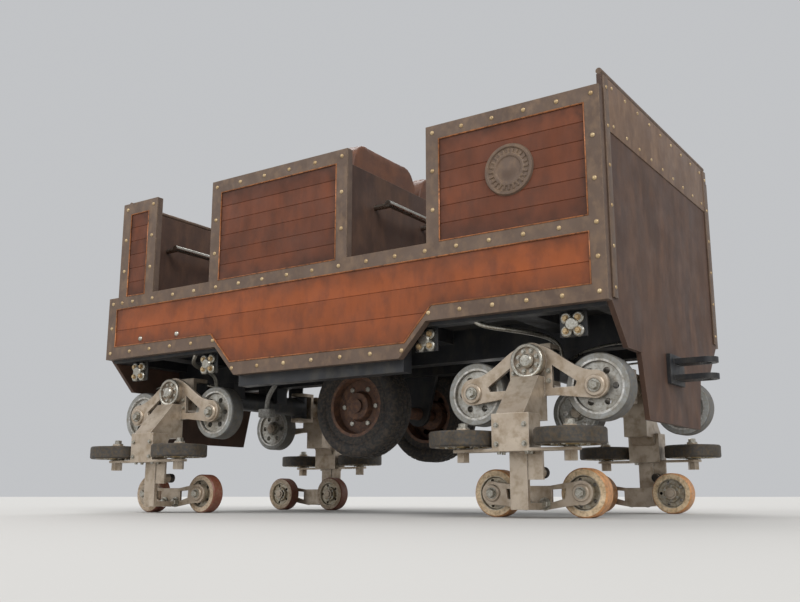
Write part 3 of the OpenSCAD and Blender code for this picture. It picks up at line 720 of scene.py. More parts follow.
def place_piece(name: str, work: Shape, finish: Finish, body: str = CAR,
                smooth: float = 35) -> bpy.types.Object:
    """Makes a scene object from a bmesh and lets it ride on a body.

    Args:
        name: the piece's name.
        work: its mesh, in the car's frame in metres. It is freed.
        finish: what it is made of.
        body: the body it moves with.
        smooth: how far in degrees it may turn at an edge that is shaded smooth.

    Returns:
        The new object.
    """
    bmesh.ops.remove_doubles(work, verts=work.verts, dist=MERGE)
    bmesh.ops.recalc_face_normals(work, faces=work.faces)
    mesh = bpy.data.meshes.new(name)
    work.to_mesh(mesh)
    work.free()
    soften(mesh, smooth)
    mesh.materials.append(finish.material())
    piece = bpy.data.objects.new(name, mesh)
    bpy.context.scene.collection.objects.link(piece)
    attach(piece, body)
    LOG.info("%s: %d faces on %s", name, len(mesh.polygons), body)
    return piece


def stamp(work: Shape, shape: Shape, places: Iterable[Matrix]) -> None:
    """Copies a small shape into a mesh.

    Args:
        work: the mesh that grows.
        shape: the small shape. It is freed.
        places: one for each copy.
    """
    dirt_and_shade = bpy.data.meshes.new("stamp")
    shape.to_mesh(dirt_and_shade)
    shape.free()
    for place in places:
        copy = dirt_and_shade.copy()
        copy.transform(place)
        work.from_mesh(copy)
        bpy.data.meshes.remove(copy)
    bpy.data.meshes.remove(dirt_and_shade)


def merge(work: Shape, *others: Shape) -> Shape:
    """Adds other shapes to a mesh where they are.

    Args:
        work: the mesh that grows.
        others: the shapes. They are freed.

    Returns:
        The mesh.
    """
    for other in others:
        stamp(work, other, [Matrix.Identity(4)])
    return work


def facing(at: Vector, towards: Vector) -> Matrix:
    """Returns a place at a point whose Z axis looks along a direction."""
    return Matrix.Translation(at) @ towards.to_track_quat("Z", "Y").to_matrix().to_4x4()


def around(base: Matrix, radius: float, count: int, turn: float = 0.0) -> list[Matrix]:
    """Returns places on a circle round a base's Z axis, the first one turned by a share of the step."""
    return [base @ Matrix.Rotation(math.tau * (i + turn) / count, 4, "Z") @ Matrix.Translation((radius, 0, 0))
            for i in range(count)]


def every(start: Vector, end: Vector, pitch: float) -> list[Vector]:
    """Spreads points along a line, from end to end.

    Args:
        start: where the line starts.
        end: where it ends.
        pitch: about how far apart the points are.

    Returns:
        The points.
    """
    run = end - start
    count = max(1, round(run.length / pitch))
    step = run.normalized()
    return [start + step * (run.length * i / count) for i in range(count + 1)]


def turned(profile: Profile, steps: int = 32) -> Shape:
    """Spins a profile round the Z axis.

    Args:
        profile: radius and height of each point.
        steps: how many sides the result has.

    Returns:
        A closed or open shell about the origin.
    """
    work = bmesh.new()
    points = [work.verts.new((radius, 0, height)) for radius, height in profile]
    for first, second in zip(points, points[1:]):
        work.edges.new((first, second))
    bmesh.ops.spin(work, geom=work.verts[:] + work.edges[:], cent=(0, 0, 0), axis=Z_AXIS, dvec=(0, 0, 0),
                   angle=math.tau, steps=steps, use_merge=True)
    bmesh.ops.remove_doubles(work, verts=work.verts, dist=SPIN_MERGE)
    return work


def round_off(work: Shape, edges: list[bmesh.types.BMEdge], offset: float, segments: int) -> None:
    """Bevels some edges of a mesh by an offset, with a number of faces across the bevel."""
    bmesh.ops.bevel(work, geom=edges, offset=offset, segments=segments, profile=0.5, affect="EDGES",
                    material=-1)


def hex_bolt(across: float, height: float) -> Shape:
    """Makes a hexagon head on a washer, standing on the origin along Z.

    Args:
        across: the head's width over its flats.
        height: the head's height. The washer is a quarter as thick.

    Returns:
        The bolt's head.
    """
    corner, rim = across * 0.577, across * 0.8
    washer, chamfer = height / 4, height * 0.14
    work = bmesh.new()
    bmesh.ops.create_cone(work, cap_ends=True, segments=6, radius1=corner, radius2=corner, depth=height,
                          matrix=Matrix.Translation((0, 0, washer + height / 2)))
    top = [edge for edge in work.edges if all(v.co.z > height for v in edge.verts)]
    round_off(work, top, chamfer, 1)
    bmesh.ops.create_cone(work, cap_ends=True, segments=16, radius1=rim, radius2=rim, depth=washer,
                          matrix=Matrix.Translation((0, 0, washer / 2)))
    return work


def dome(radius: float, height: float) -> Shape:
    """Makes a rivet's domed head with few faces, standing on the origin along Z.

    Args:
        radius: its radius.
        height: its height.

    Returns:
        The head, open below.
    """
    rings, sides = 3, 10
    bends = [math.pi / 2 * ring / rings for ring in range(rings)]
    profile = [(radius * math.cos(bend), height * math.sin(bend)) for bend in bends]
    return turned(profile + [(0, height)], sides)


def slab(first: Sequence[float], second: Sequence[float], bevel: float, segments: int = 2) -> Shape:
    """Makes a block with bevelled edges.

    Args:
        first: one of its corners.
        second: the opposite corner.
        bevel: the width of the bevel.
        segments: how many faces run across it.

    Returns:
        The block.
    """
    low, high = (Vector(corner) for corner in zip(*map(sorted, zip(first, second))))
    work = bmesh.new()
    bmesh.ops.create_cube(work, size=1, matrix=Matrix.Translation((high + low) / 2)
                          @ Matrix.Diagonal((*(high - low), 1)))
    round_off(work, work.edges[:], bevel, segments)
    return work


def tube(points: Sequence[Sequence[float]], radius: float, closed: bool = False, sides: int = 8) -> Shape:
    """Makes a round tube along a smooth line.

    Args:
        points: what the line is drawn to.
        radius: the tube's radius.
        closed: whether the line is a loop of straight runs.
        sides: how round the tube is.

    Returns:
        The tube, with its ends closed.
    """
    data = bpy.data.curves.new("tube", "CURVE")
    data.dimensions = "3D"
    data.bevel_depth = radius
    data.bevel_resolution = max(0, sides // 4 - 1)
    data.use_fill_caps = not closed
    line = data.splines.new("POLY" if closed else "NURBS")
    line.points.add(len(points) - 1)
    for knot, point in zip(line.points, points):
        knot.co = (*point, 1)
    line.use_cyclic_u = closed
    if not closed:
        line.order_u = min(4, len(points))
        line.use_endpoint_u = True
        line.resolution_u = 6
    holder = bpy.data.objects.new("tube", data)
    bpy.context.scene.collection.objects.link(holder)
    bpy.context.view_layer.update()
    mesh = bpy.data.meshes.new_from_object(holder.evaluated_get(bpy.context.evaluated_depsgraph_get()))
    work = bmesh.new()
    work.from_mesh(mesh)
    bpy.data.objects.remove(holder)
    bpy.data.curves.remove(data)
    bpy.data.meshes.remove(mesh)
    return work


# Sub-assemblies


@dataclass(frozen=True)
class Plan:
    """Places on the bodywork, in metres, as the part's source has them.

    Each post is an upright panel over the skirt, given by its two ends along X.
    """

    half_l: float = 1.350
    half_w: float = 0.685
    strip: float = 0.062
    strip_t: float = 0.006
    skirt_z: float = 0.759
    skirt_top: float = 1.077
    panel_z: float = 1.574
    deep_z: float = 0.619
    deep_front: float = 0.578
    deep_rear: float = -0.459
    slope: float = 0.128
    posts: tuple[tuple[float, float], ...] = ((1.026, 1.282), (-0.189, 0.634), (-1.350, -0.594))

    def skirt(self, inset: float) -> Outline:
        """Draws the skirt in X and Z.

        Args:
            inset: how far the outline is shrunk.

        Returns:
            The outline's corners, in order.
        """
        shift = inset * math.tan(math.atan((self.skirt_z - self.deep_z) / self.slope) / 2)
        low, deep, high = self.skirt_z + inset, self.deep_z + inset, self.skirt_top - inset
        end = self.half_l - inset
        return [
            (end, low),
            (self.deep_front + shift, low),
            (self.deep_front - self.slope + shift, deep),
            (self.deep_rear - shift, deep),
            (self.deep_rear - self.slope - shift, low),
            (-end, low),
            (-end, high),
            (end, high),
        ]

    def panel(self, post: tuple[float, float], inset: float) -> Outline:
        """Draws a panel over the skirt in X and Z.

        Args:
            post: its two ends along X.
            inset: how far the outline is shrunk.

        Returns:
            The outline's corners, in order.
        """
        rear, front = post[0] + inset, post[1] - inset
        low, high = self.skirt_top - self.strip + inset, self.panel_z - inset
        return [(rear, low), (front, low), (front, high), (rear, high)]


PLAN = Plan()


@dataclass
class Coachwork:
    """Boards, beads, rivets and bolts on the side walls, and the round moulding on the rear panel.

    A board's edge is rounded by a share of its height, and it is cut into lengths so that the dirt
    near the panel's edge can be written into its points.
    """

    board: float = 0.067
    skirt_board: float = 0.097
    groove: float = 0.0014
    proud: float = 0.0028
    board_round: float = 0.7
    edge_reach: float = 0.045
    cut: float = 0.11
    rivet_pitch: float = 0.148
    rivet_gap: float = 0.055
    rivet_r: float = 0.0095
    rivet_h: float = 0.0057
    bead_r: float = 0.004
    bead_sunk: float = 0.001
    bolt_back: tuple[float, float] = (0.25, 0.51)
    bolt_up: float = 0.088
    bolt_r: float = 0.013
    bolt_h: float = 0.009
    moulding: Profile = ((0.0, 0.010), (0.018, 0.009), (0.030, 0.004), (0.050, 0.004), (0.056, 0.008),
                         (0.064, 0.008), (0.070, 0.003), (0.086, 0.003), (0.091, 0.009), (0.101, 0.009),
                         (0.106, 0.0), (0.0, 0.0))
    moulding_z: float = 1.315
    petals: int = 24
    petal_rs: tuple[float, float] = (0.053, 0.084)
    petal_zs: tuple[float, float] = (0.002, 0.007)
    petal_half: float = 0.004
    petal_round: float = 0.002

    def build(self) -> None:
        """Builds both sides."""
        for name, side in NAMED_SIDES:
            skirt = [PLAN.skirt(PLAN.strip)]
            panels = [PLAN.panel(post, PLAN.strip) for post in PLAN.posts]
            self.boards(f"skirt_{name}", side, skirt, self.skirt_board, COPPER_PAINT)
            self.boards(f"panels_{name}", side, panels, self.board, PANEL_PAINT)
            self.beads(name, side, skirt + panels)
            self.rivets(name, side)
            self.bolts(name, side)
            self.roundel(name, side)

    def boards(self, name: str, side: int, outlines: list[Outline], width: float, paint: Finish) -> None:
        """Fills each outline with pressed boards, with a groove between them.

        Args:
            name: the end of the piece's name.
            side: 1 on the left and -1 on the right.
            outlines: what is filled.
            width: about how wide a board is.
            paint: the boards' finish.
        """
        work = bmesh.new()
        for outline in outlines:
            low, high = min(z for _, z in outline), max(z for _, z in outline)
            count = round((high - low) / width)
            pitch = (high - low) / count
            for i in range(count):
                board = self.one_board(outline, side, low + i * pitch, low + (i + 1) * pitch)
                self.mark(board, outline)
                merge(work, board)
        place_piece(f"boards_{name}", work, paint, smooth=20)

    def one_board(self, outline: Outline, side: int, low: float, high: float) -> Shape:
        """Cuts one board out of an outline.

        Args:
            outline: the panel that the board is part of.
            side: 1 on the left and -1 on the right.
            low: where the board starts, in the middle of its groove.
            high: where it ends.

        Returns:
            The board.
        """
        work = bmesh.new()
        work.faces.new([work.verts.new((x, side * PLAN.half_w, z)) for x, z in outline])
        for height, below in ((low + self.groove / 2, True), (high - self.groove / 2, False)):
            bmesh.ops.bisect_plane(work, geom=work.verts[:] + work.edges[:] + work.faces[:],
                                   plane_co=(0, 0, height), plane_no=Z_AXIS, clear_inner=below,
                                   clear_outer=not below)
        grown = bmesh.ops.extrude_face_region(work, geom=work.faces[:])
        moved = [item for item in grown["geom"] if isinstance(item, bmesh.types.BMVert)]
        bmesh.ops.translate(work, verts=moved, vec=(0, side * self.proud, 0))
        half_proud = PLAN.half_w + self.proud / 2
        rim = [edge for edge in work.edges if all(abs(v.co.y) > half_proud for v in edge.verts)]
        round_off(work, rim, self.proud * self.board_round, 2)
        return work

    def mark(self, board: Shape, outline: Outline) -> None:
        """Cuts a board across and writes its tone and how near each point lies to the panel's edge.

        Args:
            board: the board.
            outline: the panel that it is part of.
        """
        left, right = min(x for x, _ in outline), max(x for x, _ in outline)
        cuts = [left + self.edge_reach, right - self.edge_reach]
        cuts += [left + self.cut * i for i in range(1, int((right - left) / self.cut))]
        for x in cuts:
            bmesh.ops.bisect_plane(board, geom=board.verts[:] + board.edges[:] + board.faces[:],
                                   plane_co=(x, 0, 0), plane_no=X_AXIS)
        edge = board.verts.layers.float.new(EDGE)
        for vert in board.verts:
            distance = self.edge_reach
            for (x0, z0), (x1, z1) in zip(outline, outline[1:] + outline[:1]):
                near = Vector((vert.co.x - x0, vert.co.z - z0))
                run = Vector((x1 - x0, z1 - z0))
                share = max(0.0, min(1.0, near.dot(run) / run.length_squared))
                distance = min(distance, (near - run * share).length)
            vert[edge] = 1 - distance / self.edge_reach
        tone = board.faces.layers.float.new(TONE)
        shade = random.uniform(-1, 1)
        for face in board.faces:
            face[tone] = shade

    def beads(self, name: str, side: int, outlines: list[Outline]) -> None:
        """Runs a half-round bead along the inner edge of each frame of strips, in a lighter paint that is a
        painted highlight.

        Args:
            name: the side's name.
            side: 1 on the left and -1 on the right.
            outlines: the edges.
        """
        work = bmesh.new()
        level = side * (PLAN.half_w + PLAN.strip_t - self.bead_sunk)
        for outline in outlines:
            merge(work, tube([(x, level, z) for x, z in outline], self.bead_r, closed=True))
        place_piece(f"beads_{name}", work, BEAD_HIGHLIGHT_PAINT, smooth=60)

    def rivets(self, name: str, side: int) -> None:
        """Sets domed rivets along the middle of the strips, and none where two runs meet.

        Args:
            name: the side's name.
            side: 1 on the left and -1 on the right.
        """
        level = side * (PLAN.half_w + PLAN.strip_t)
        skirt = PLAN.skirt(PLAN.strip / 2)
        runs = list(zip(skirt, skirt[1:] + skirt[:1]))
        for post in PLAN.posts:
            low_rear, low_front, high_front, high_rear = PLAN.panel(post, PLAN.strip / 2)
            runs += [(low_front, high_front), (high_front, high_rear), (high_rear, low_rear)]
        spots: list[Vector] = []
        for (x0, z0), (x1, z1) in runs:
            for spot in every(Vector((x0, level, z0)), Vector((x1, level, z1)), self.rivet_pitch):
                if all((spot - other).length > self.rivet_gap for other in spots):
                    spots.append(spot)
        work = bmesh.new()
        stamp(work, dome(self.rivet_r, self.rivet_h), [facing(spot, Y_AXIS * side) for spot in spots])
        place_piece(f"rivets_{name}", work, BRASS, smooth=60)

    def bolts(self, name: str, side: int) -> None:
        """Sets two bright bolts low on the skirt near the front.

        Args:
            name: the side's name.
            side: 1 on the left and -1 on the right.
        """
        level, height = side * (PLAN.half_w + self.proud), PLAN.skirt_z + self.bolt_up
        work = bmesh.new()
        stamp(work, dome(self.bolt_r, self.bolt_h),
              [facing(Vector((PLAN.half_l - back, level, height)), Y_AXIS * side) for back in self.bolt_back])
        place_piece(f"skirt_bolts_{name}", work, ZINC, smooth=60)

    def roundel(self, name: str, side: int) -> None:
        """Sets a plain round moulding with radial petals on the rear panel.

        Args:
            name: the side's name.
            side: 1 on the left and -1 on the right.
        """
        work = turned(self.moulding, 48)
        (near, far), (low, high) = self.petal_rs, self.petal_zs
        petal = slab((near, -self.petal_half, low), (far, self.petal_half, high), self.petal_round)
        stamp(work, petal, around(Matrix.Identity(4), 0, self.petals))
        spot = Vector((sum(PLAN.posts[-1]) / 2, side * (PLAN.half_w + self.proud), self.moulding_z))
        work.transform(facing(spot, Y_AXIS * side))
        place_piece(f"roundel_{name}", work, BRONZE_PAINT, smooth=30)


@dataclass
class Bulkheads:
    """The band, the angles and the rivets on the end walls."""

    sheet: float = 0.004
    band: float = 0.215
    band_share: float = 0.5
    band_in: float = 0.03
    band_side: float = 0.09
    band_edge: float = 0.004
    band_round: float = 0.0015
    angle: float = 0.045
    angle_t: float = 0.008
    angle_up: float = 0.012
    angle_in: float = 0.05
    angle_edge: float = 0.002
    angle_top: float = 0.006
    angle_round: float = 0.002
    rivet_pitch: float = 0.15
    rivet_r: float = 0.0075
    rivet_h: float = 0.0045

    def build(self) -> None:
        """Builds the rear and the front ends."""
        low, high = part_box("rear_bulkhead")
        self.dress("rear", low, high, -1)
        low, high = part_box("front_bulkhead")
        self.dress("front", low, Vector((high.x, high.y, PLAN.skirt_top)), 1)

    def dress(self, name: str, low: Vector, high: Vector, towards: int) -> None:
        """Lays a band along the top of an end wall, in a lighter paint that is painted light on its upper
        part, and an angle down each side, with rivets.

        Args:
            name: which end.
            low: the wall's lowest corner.
            high: its highest corner.
            towards: 1 where the wall faces the front, and -1 where it faces the rear.
        """
        face = high.x if towards > 0 else low.x
        on_band, on_angle = face + towards * self.sheet, face + towards * self.angle_t
        band = min(self.band, (high.z - PLAN.skirt_z) * self.band_share)
        edge = self.band_edge
        # The band's lighter paint is painted light on the top of the wall
        work = slab((face, low.y + edge, high.z - band), (on_band, high.y - edge, high.z - edge),
                    self.band_round)
        place_piece(f"top_band_{name}", work, LIT_BAND_PAINT)
        angles = bmesh.new()
        spots: list[Vector] = []
        for side in SIDES:
            merge(angles, slab((face, side * (high.y - self.angle), PLAN.skirt_z + self.angle_up),
                               (on_angle, side * (high.y - self.angle_edge), high.z - self.angle_top),
                               self.angle_round))
            middle = side * (high.y - self.angle / 2)
            spots += every(Vector((on_angle, middle, PLAN.skirt_z + self.angle_in)),
                           Vector((on_angle, middle, high.z - self.angle_in)), self.rivet_pitch)
        place_piece(f"corner_angles_{name}", angles, BRONZE_PAINT)
        for height in (high.z - self.band_in, high.z - band + self.band_in):
            spots += every(Vector((on_band, low.y + self.band_side, height)),
                           Vector((on_band, high.y - self.band_side, height)), self.rivet_pitch)
        rivets = bmesh.new()
        stamp(rivets, dome(self.rivet_r, self.rivet_h), [facing(spot, X_AXIS * towards) for spot in spots])
        place_piece(f"end_rivets_{name}", rivets, BRASS, smooth=60)


@dataclass
class Underframe:
    """Brackets, pipes and a sensor arm under the body.

    The pipes' routes are for the front left corner and are mirrored to the other ones. The sensor
    arm's is for the left side and is mirrored to the right one. A bolt is its width and height.
    """

    sill_y: float = 0.600
    sill_low: float = 0.744
    bracket_x: tuple[float, ...] = (1.180, 0.690, -0.540, -1.180)
    bracket_z: float = 0.695
    plate_half: float = 0.055
    plate_t: float = 0.010
    plate_low: float = 0.650
    plate_sunk: float = 0.002
    plate_round: float = 0.003
    bolt: tuple[float, float] = (0.016, 0.009)
    lobes: int = 4
    lobe_out: float = 0.034
    lobe: Profile = ((0.022, 0.0), (0.022, 0.012), (0.0176, 0.016), (0.0, 0.016))
    core: Profile = ((0.026, 0.0), (0.026, 0.020), (0.020, 0.026), (0.0, 0.026))
    bright_r: float = 0.010
    bright_route: tuple[tuple[float, float, float], ...] = (
        (0.978, 0.270, 0.622), (0.976, 0.272, 0.668), (0.968, 0.300, 0.700), (0.945, 0.400, 0.712),
        (0.900, 0.500, 0.716), (0.845, 0.570, 0.722), (0.790, 0.612, 0.732), (0.775, 0.618, 0.748))
    thin_r: float = 0.005
    thin_route: tuple[tuple[float, float, float], ...] = (
        (0.986, 0.210, 0.620), (1.020, 0.220, 0.648), (1.120, 0.250, 0.664), (1.240, 0.330, 0.660),
        (1.310, 0.360, 0.650), (1.332, 0.365, 0.640))
    arm_r: float = 0.011
    arm_y: float = 0.470
    arm_route: Profile = ((0.380, 0.746), (0.380, 0.640), (0.384, 0.590), (0.420, 0.560), (0.440, 0.520),
                          (0.440, 0.470))
    box_xs: tuple[float, float] = (0.405, 0.475)
    box_zs: tuple[float, float] = (0.440, 0.480)
    box_half: float = 0.022
    box_round: float = 0.005

    def build(self) -> None:
        """Builds the fittings of both sides."""
        for name, side in NAMED_SIDES:
            self.brackets(name, side)
            self.pipes(name, side)
            self.sensor_arm(name, side)

    def brackets(self, name: str, side: int) -> None:
        """Hangs a plate with four lobes and bolts under each end of a sill and behind each slope.

        Args:
            name: the side's name.
            side: 1 on the left and -1 on the right.
        """
        plates, lobes, bolts = bmesh.new(), bmesh.new(), bmesh.new()
        outward = Y_AXIS * side
        face = self.sill_y + self.plate_t
        for x in self.bracket_x:
            merge(plates, slab((x - self.plate_half, side * self.sill_y, self.plate_low),
                               (x + self.plate_half, side * face, self.sill_low + self.plate_sunk),
                               self.plate_round))
            middle = facing(Vector((x, side * face, self.bracket_z)), outward)
            spots = [place.translation for place in around(middle, self.lobe_out, self.lobes, 0.5)]
            top = outward * self.lobe[-1][1]
            stamp(lobes, turned(self.lobe, 20), [facing(spot, outward) for spot in spots])
            stamp(bolts, hex_bolt(*self.bolt), [facing(spot + top, outward) for spot in spots])
            stamp(lobes, turned(self.core, 24), [middle])
        place_piece(f"bracket_plates_{name}", plates, CHASSIS_PAINT)
        place_piece(f"bracket_lobes_{name}", lobes, ZINC)
        place_piece(f"bracket_bolts_{name}", bolts, BRASS)

    def pipes(self, name: str, side: int) -> None:
        """Runs bent pipes from the axle beams up to the sills, and thin ones along to the ends.

        Args:
            name: the side's name.
            side: 1 on the left and -1 on the right.
        """
        bright, thin = bmesh.new(), bmesh.new()
        for end in SIDES:
            merge(bright, tube([(end * x, side * y, z) for x, y, z in self.bright_route], self.bright_r,
                               sides=16))
            merge(thin, tube([(end * x, side * y, z) for x, y, z in self.thin_route], self.thin_r))
        place_piece(f"bright_pipes_{name}", bright, ZINC, smooth=70)
        place_piece(f"thin_pipes_{name}", thin, STAINLESS, smooth=70)

    def sensor_arm(self, name: str, side: int) -> None:
        """Hangs a pipe with a small box at its end from the cross member in front of the big tyres.

        Args:
            name: the side's name.
            side: 1 on the left and -1 on the right.
        """
        y = side * self.arm_y
        (rear, front), (low, high) = self.box_xs, self.box_zs
        work = tube([(x, y, z) for x, z in self.arm_route], self.arm_r, sides=16)
        merge(work, slab((rear, y - self.box_half, low), (front, y + self.box_half, high), self.box_round))
        place_piece(f"sensor_arm_{name}", work, HOSE_RUBBER, smooth=60)


@dataclass(frozen=True)
class BoltRing:
    """A ring of bolts on a wheel: its radius, its depth under the hub's face and the bolts' width."""

    radius: float
    sunk: float
    across: float


@dataclass
class Wheels:
    """Ringed finishes and bolts on every road, guide and up-stop wheel."""

    bolts: int = 6
    cap: BoltRing = BoltRing(0.0315, 0.0, 0.0075)
    guide_ring: BoltRing = BoltRing(0.062, 0.008, 0.014)
    bolt_h: float = 0.4

    def build(self) -> None:
        """Dresses each wheel about its joint, which gives its centre and its axis."""
        kinds = {kind.value: kind for kind in WheelKind}
        for joint in frame["joints"]:
            kind = kinds.get(joint["child"].split("_")[0])
            if kind:
                self.dress(kind, joint["child"], Vector(joint["pos_m"]), Vector(joint["axis"]))

    def dress(self, kind: WheelKind, node: str, centre: Vector, axis: Vector) -> None:
        """Gives one wheel its ringed finish and a circle of bolts on each face.

        Args:
            kind: the wheel's job.
            node: the wheel's node and body.
            centre: its centre.
            axis: its axle's direction.
        """
        low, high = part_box(node)
        along = 1 if abs(axis.y) > 0.5 else 2
        half_width = (high[along] - low[along]) / 2
        dress_node(node, replace(self.cast(kind, node), name=f"{node}_cast", centre=tuple(centre),
                                 axis="XYZ"[along], radius=(high.x - low.x) / 2))
        rings = (self.cap, self.guide_ring) if kind is WheelKind.GUIDE else (self.cap,)
        work = bmesh.new()
        for way in SIDES:
            for ring in rings:
                base = facing(centre + axis * way * (half_width - ring.sunk), axis * way)
                stamp(work, hex_bolt(ring.across, ring.across * self.bolt_h),
                      around(base, ring.radius, self.bolts, 0.5))
        place_piece(f"{node}_bolts", work, ZINC, body=node)

    def cast(self, kind: WheelKind, node: str) -> WheelFinish:
        """Picks a wheel's casting and tread.

        Args:
            kind: the wheel's job.
            node: its node, such as upstop_fl_a, whose second word starts with f at the front.

        Returns:
            The finish, about no centre yet.
        """
        if kind is WheelKind.UPSTOP:
            return RED_CAST if node.split("_")[1].startswith("f") else PEACH_CAST
        return ROAD_CAST if kind is WheelKind.ROAD else GUIDE_CAST


@dataclass(frozen=True)
class Corner:
    """One corner of the car: its short name, its end (1 at the front) and its side (1 on the left)."""

    name: str
    end: int
    side: int
    bogie_x: float = 0.978

    def seat(self, x: float, y: float, z: float, towards: Vector | None = None) -> Matrix:
        """Returns a place x before the kingpin, y outwards and z high, that looks outwards or as told."""
        outward = Y_AXIS * self.side if towards is None else towards
        return facing(Vector((self.end * self.bogie_x + x, self.side * y, z)), outward)


CORNERS = (Corner("fl", 1, 1), Corner("fr", 1, -1), Corner("rl", -1, 1), Corner("rr", -1, -1))


@dataclass
class BogieFittings:
    """Bolts, hub rings, pin bosses and rubber stops on the four bogies.

    The places of the wheels' pins, of the rocker plate, of the guide arms and of the low plate are
    those of the part's source. A bolt or a nut is its width and height.
    """

    bolt: tuple[float, float] = (0.013, 0.008)
    nut: tuple[float, float] = (0.030, 0.016)
    road_nut_out: float = 0.006
    upstop_nut_out: float = 0.004
    hub_z: float = 0.579
    hub_face: float = 0.595
    hub_sunk: float = 0.585
    hub_bolts: int = 8
    hub_bolt_r: float = 0.041
    lip: Profile = ((0.0545, -0.006), (0.0545, 0.002), (0.058, 0.004), (0.063, 0.004), (0.0665, 0.001),
                    (0.0665, -0.010))
    hub_cap: Profile = ((0.026, 0.0), (0.026, 0.005), (0.021, 0.010), (0.0, 0.012))
    cap_out: float = 0.004
    boss: Profile = ((0.040, 0.0), (0.040, 0.005), (0.036, 0.009), (0.027, 0.009), (0.027, 0.006),
                     (0.0, 0.006))
    small_boss: float = 0.8
    rocker_face: float = 0.561
    rocker_x: float = 0.073
    rocker_zs: tuple[float, float] = (0.502, 0.540)
    road_x: float = 0.255
    road_z: float = 0.473
    block_out: float = 0.745
    block_x: float = 0.056
    block_zs: tuple[float, float] = (0.262, 0.330)
    arm_z: float = 0.236
    arm_ins: tuple[float, float] = (0.020, 0.056)
    guide_x: float = 0.216
    guide_y: float = 0.707
    guide_top: float = 0.325
    plate_face: float = 0.550
    plate_x: float = 0.038
    plate_z: float = 0.050
    upstop_x: float = 0.181
    upstop_z: float = 0.090
    stop_x: float = -0.065
    stop_y: float = 0.600
    stop_z: float = 0.162
    stop_face: Profile = ((0.0, 0.0), (0.016, 0.0), (0.021, -0.005), (0.0215, -0.022), (0.0205, -0.030))

    def build(self) -> None:
        """Dresses each bogie in its own corner."""
        for corner in CORNERS:
            self.hub(corner)
            self.bosses(corner)
            self.bolts(corner)
            self.stop(corner)

    def hub(self, corner: Corner) -> None:
        """Adds the polished lip of the hub and the cap on its bolt.

        Args:
            corner: the bogie's corner of the car.
        """
        lip = turned(self.lip, 48)
        lip.transform(corner.seat(0, self.hub_face, self.hub_z))
        stamp(lip, turned(self.hub_cap, 32), [corner.seat(0, self.hub_face + self.cap_out, self.hub_z)])
        place_piece(f"hub_ring_{corner.name}", lip, ZINC, body=f"bogie_{corner.name}")

    def bosses(self, corner: Corner) -> None:
        """Adds a boss round each pin of the road wheels, and smaller ones at the up-stop wheels.

        Args:
            corner: the bogie's corner of the car.
        """
        small = [(radius * self.small_boss, height) for radius, height in self.boss]
        work = bmesh.new()
        stamp(work, turned(self.boss, 32),
              [corner.seat(way * self.road_x, self.rocker_face, self.road_z) for way in (-1, 1)])
        stamp(work, turned(small, 32),
              [corner.seat(way * self.upstop_x, self.plate_face, self.upstop_z) for way in (-1, 1)])
        place_piece(f"pin_bosses_{corner.name}", work, BOGIE_STEEL, body=f"bogie_{corner.name}")

    def bolts(self, corner: Corner) -> None:
        """Adds the small bolts of the hub, the block, the arms and the rocker, and the large pin nuts.

        Args:
            corner: the bogie's corner of the car.
        """
        small = around(corner.seat(0, self.hub_sunk, self.hub_z), self.hub_bolt_r, self.hub_bolts, 0.5)
        large: list[Matrix] = []
        for way in (-1, 1):
            small += [corner.seat(way * self.block_x, self.block_out, z) for z in self.block_zs]
            small += [corner.seat(way * self.block_x, self.block_out - y, self.arm_z, -Z_AXIS)
                      for y in self.arm_ins]
            small += [corner.seat(way * self.rocker_x, self.rocker_face, z) for z in self.rocker_zs]
            large += [corner.seat(way * self.road_x, self.rocker_face + self.road_nut_out, self.road_z),
                      corner.seat(way * self.upstop_x, self.plate_face + self.upstop_nut_out, self.upstop_z),
                      corner.seat(way * self.guide_x, self.guide_y, self.guide_top, Z_AXIS),
                      corner.seat(way * self.plate_x, self.plate_face, self.plate_z)]
        work = bmesh.new()
        stamp(work, hex_bolt(*self.bolt), small)
        stamp(work, hex_bolt(*self.nut), large)
        place_piece(f"bogie_bolts_{corner.name}", work, ZINC, body=f"bogie_{corner.name}")

    def stop(self, corner: Corner) -> None:
        """Puts a rubber face on the stop beside the strut.

        Args:
            corner: the bogie's corner of the car.
        """
        work = turned(self.stop_face, 32)
        work.transform(corner.seat(self.stop_x, self.stop_y, self.stop_z, Y_AXIS * -corner.side))
        place_piece(f"stop_pad_{corner.name}", work, TYRE_RUBBER, body=f"bogie_{corner.name}")


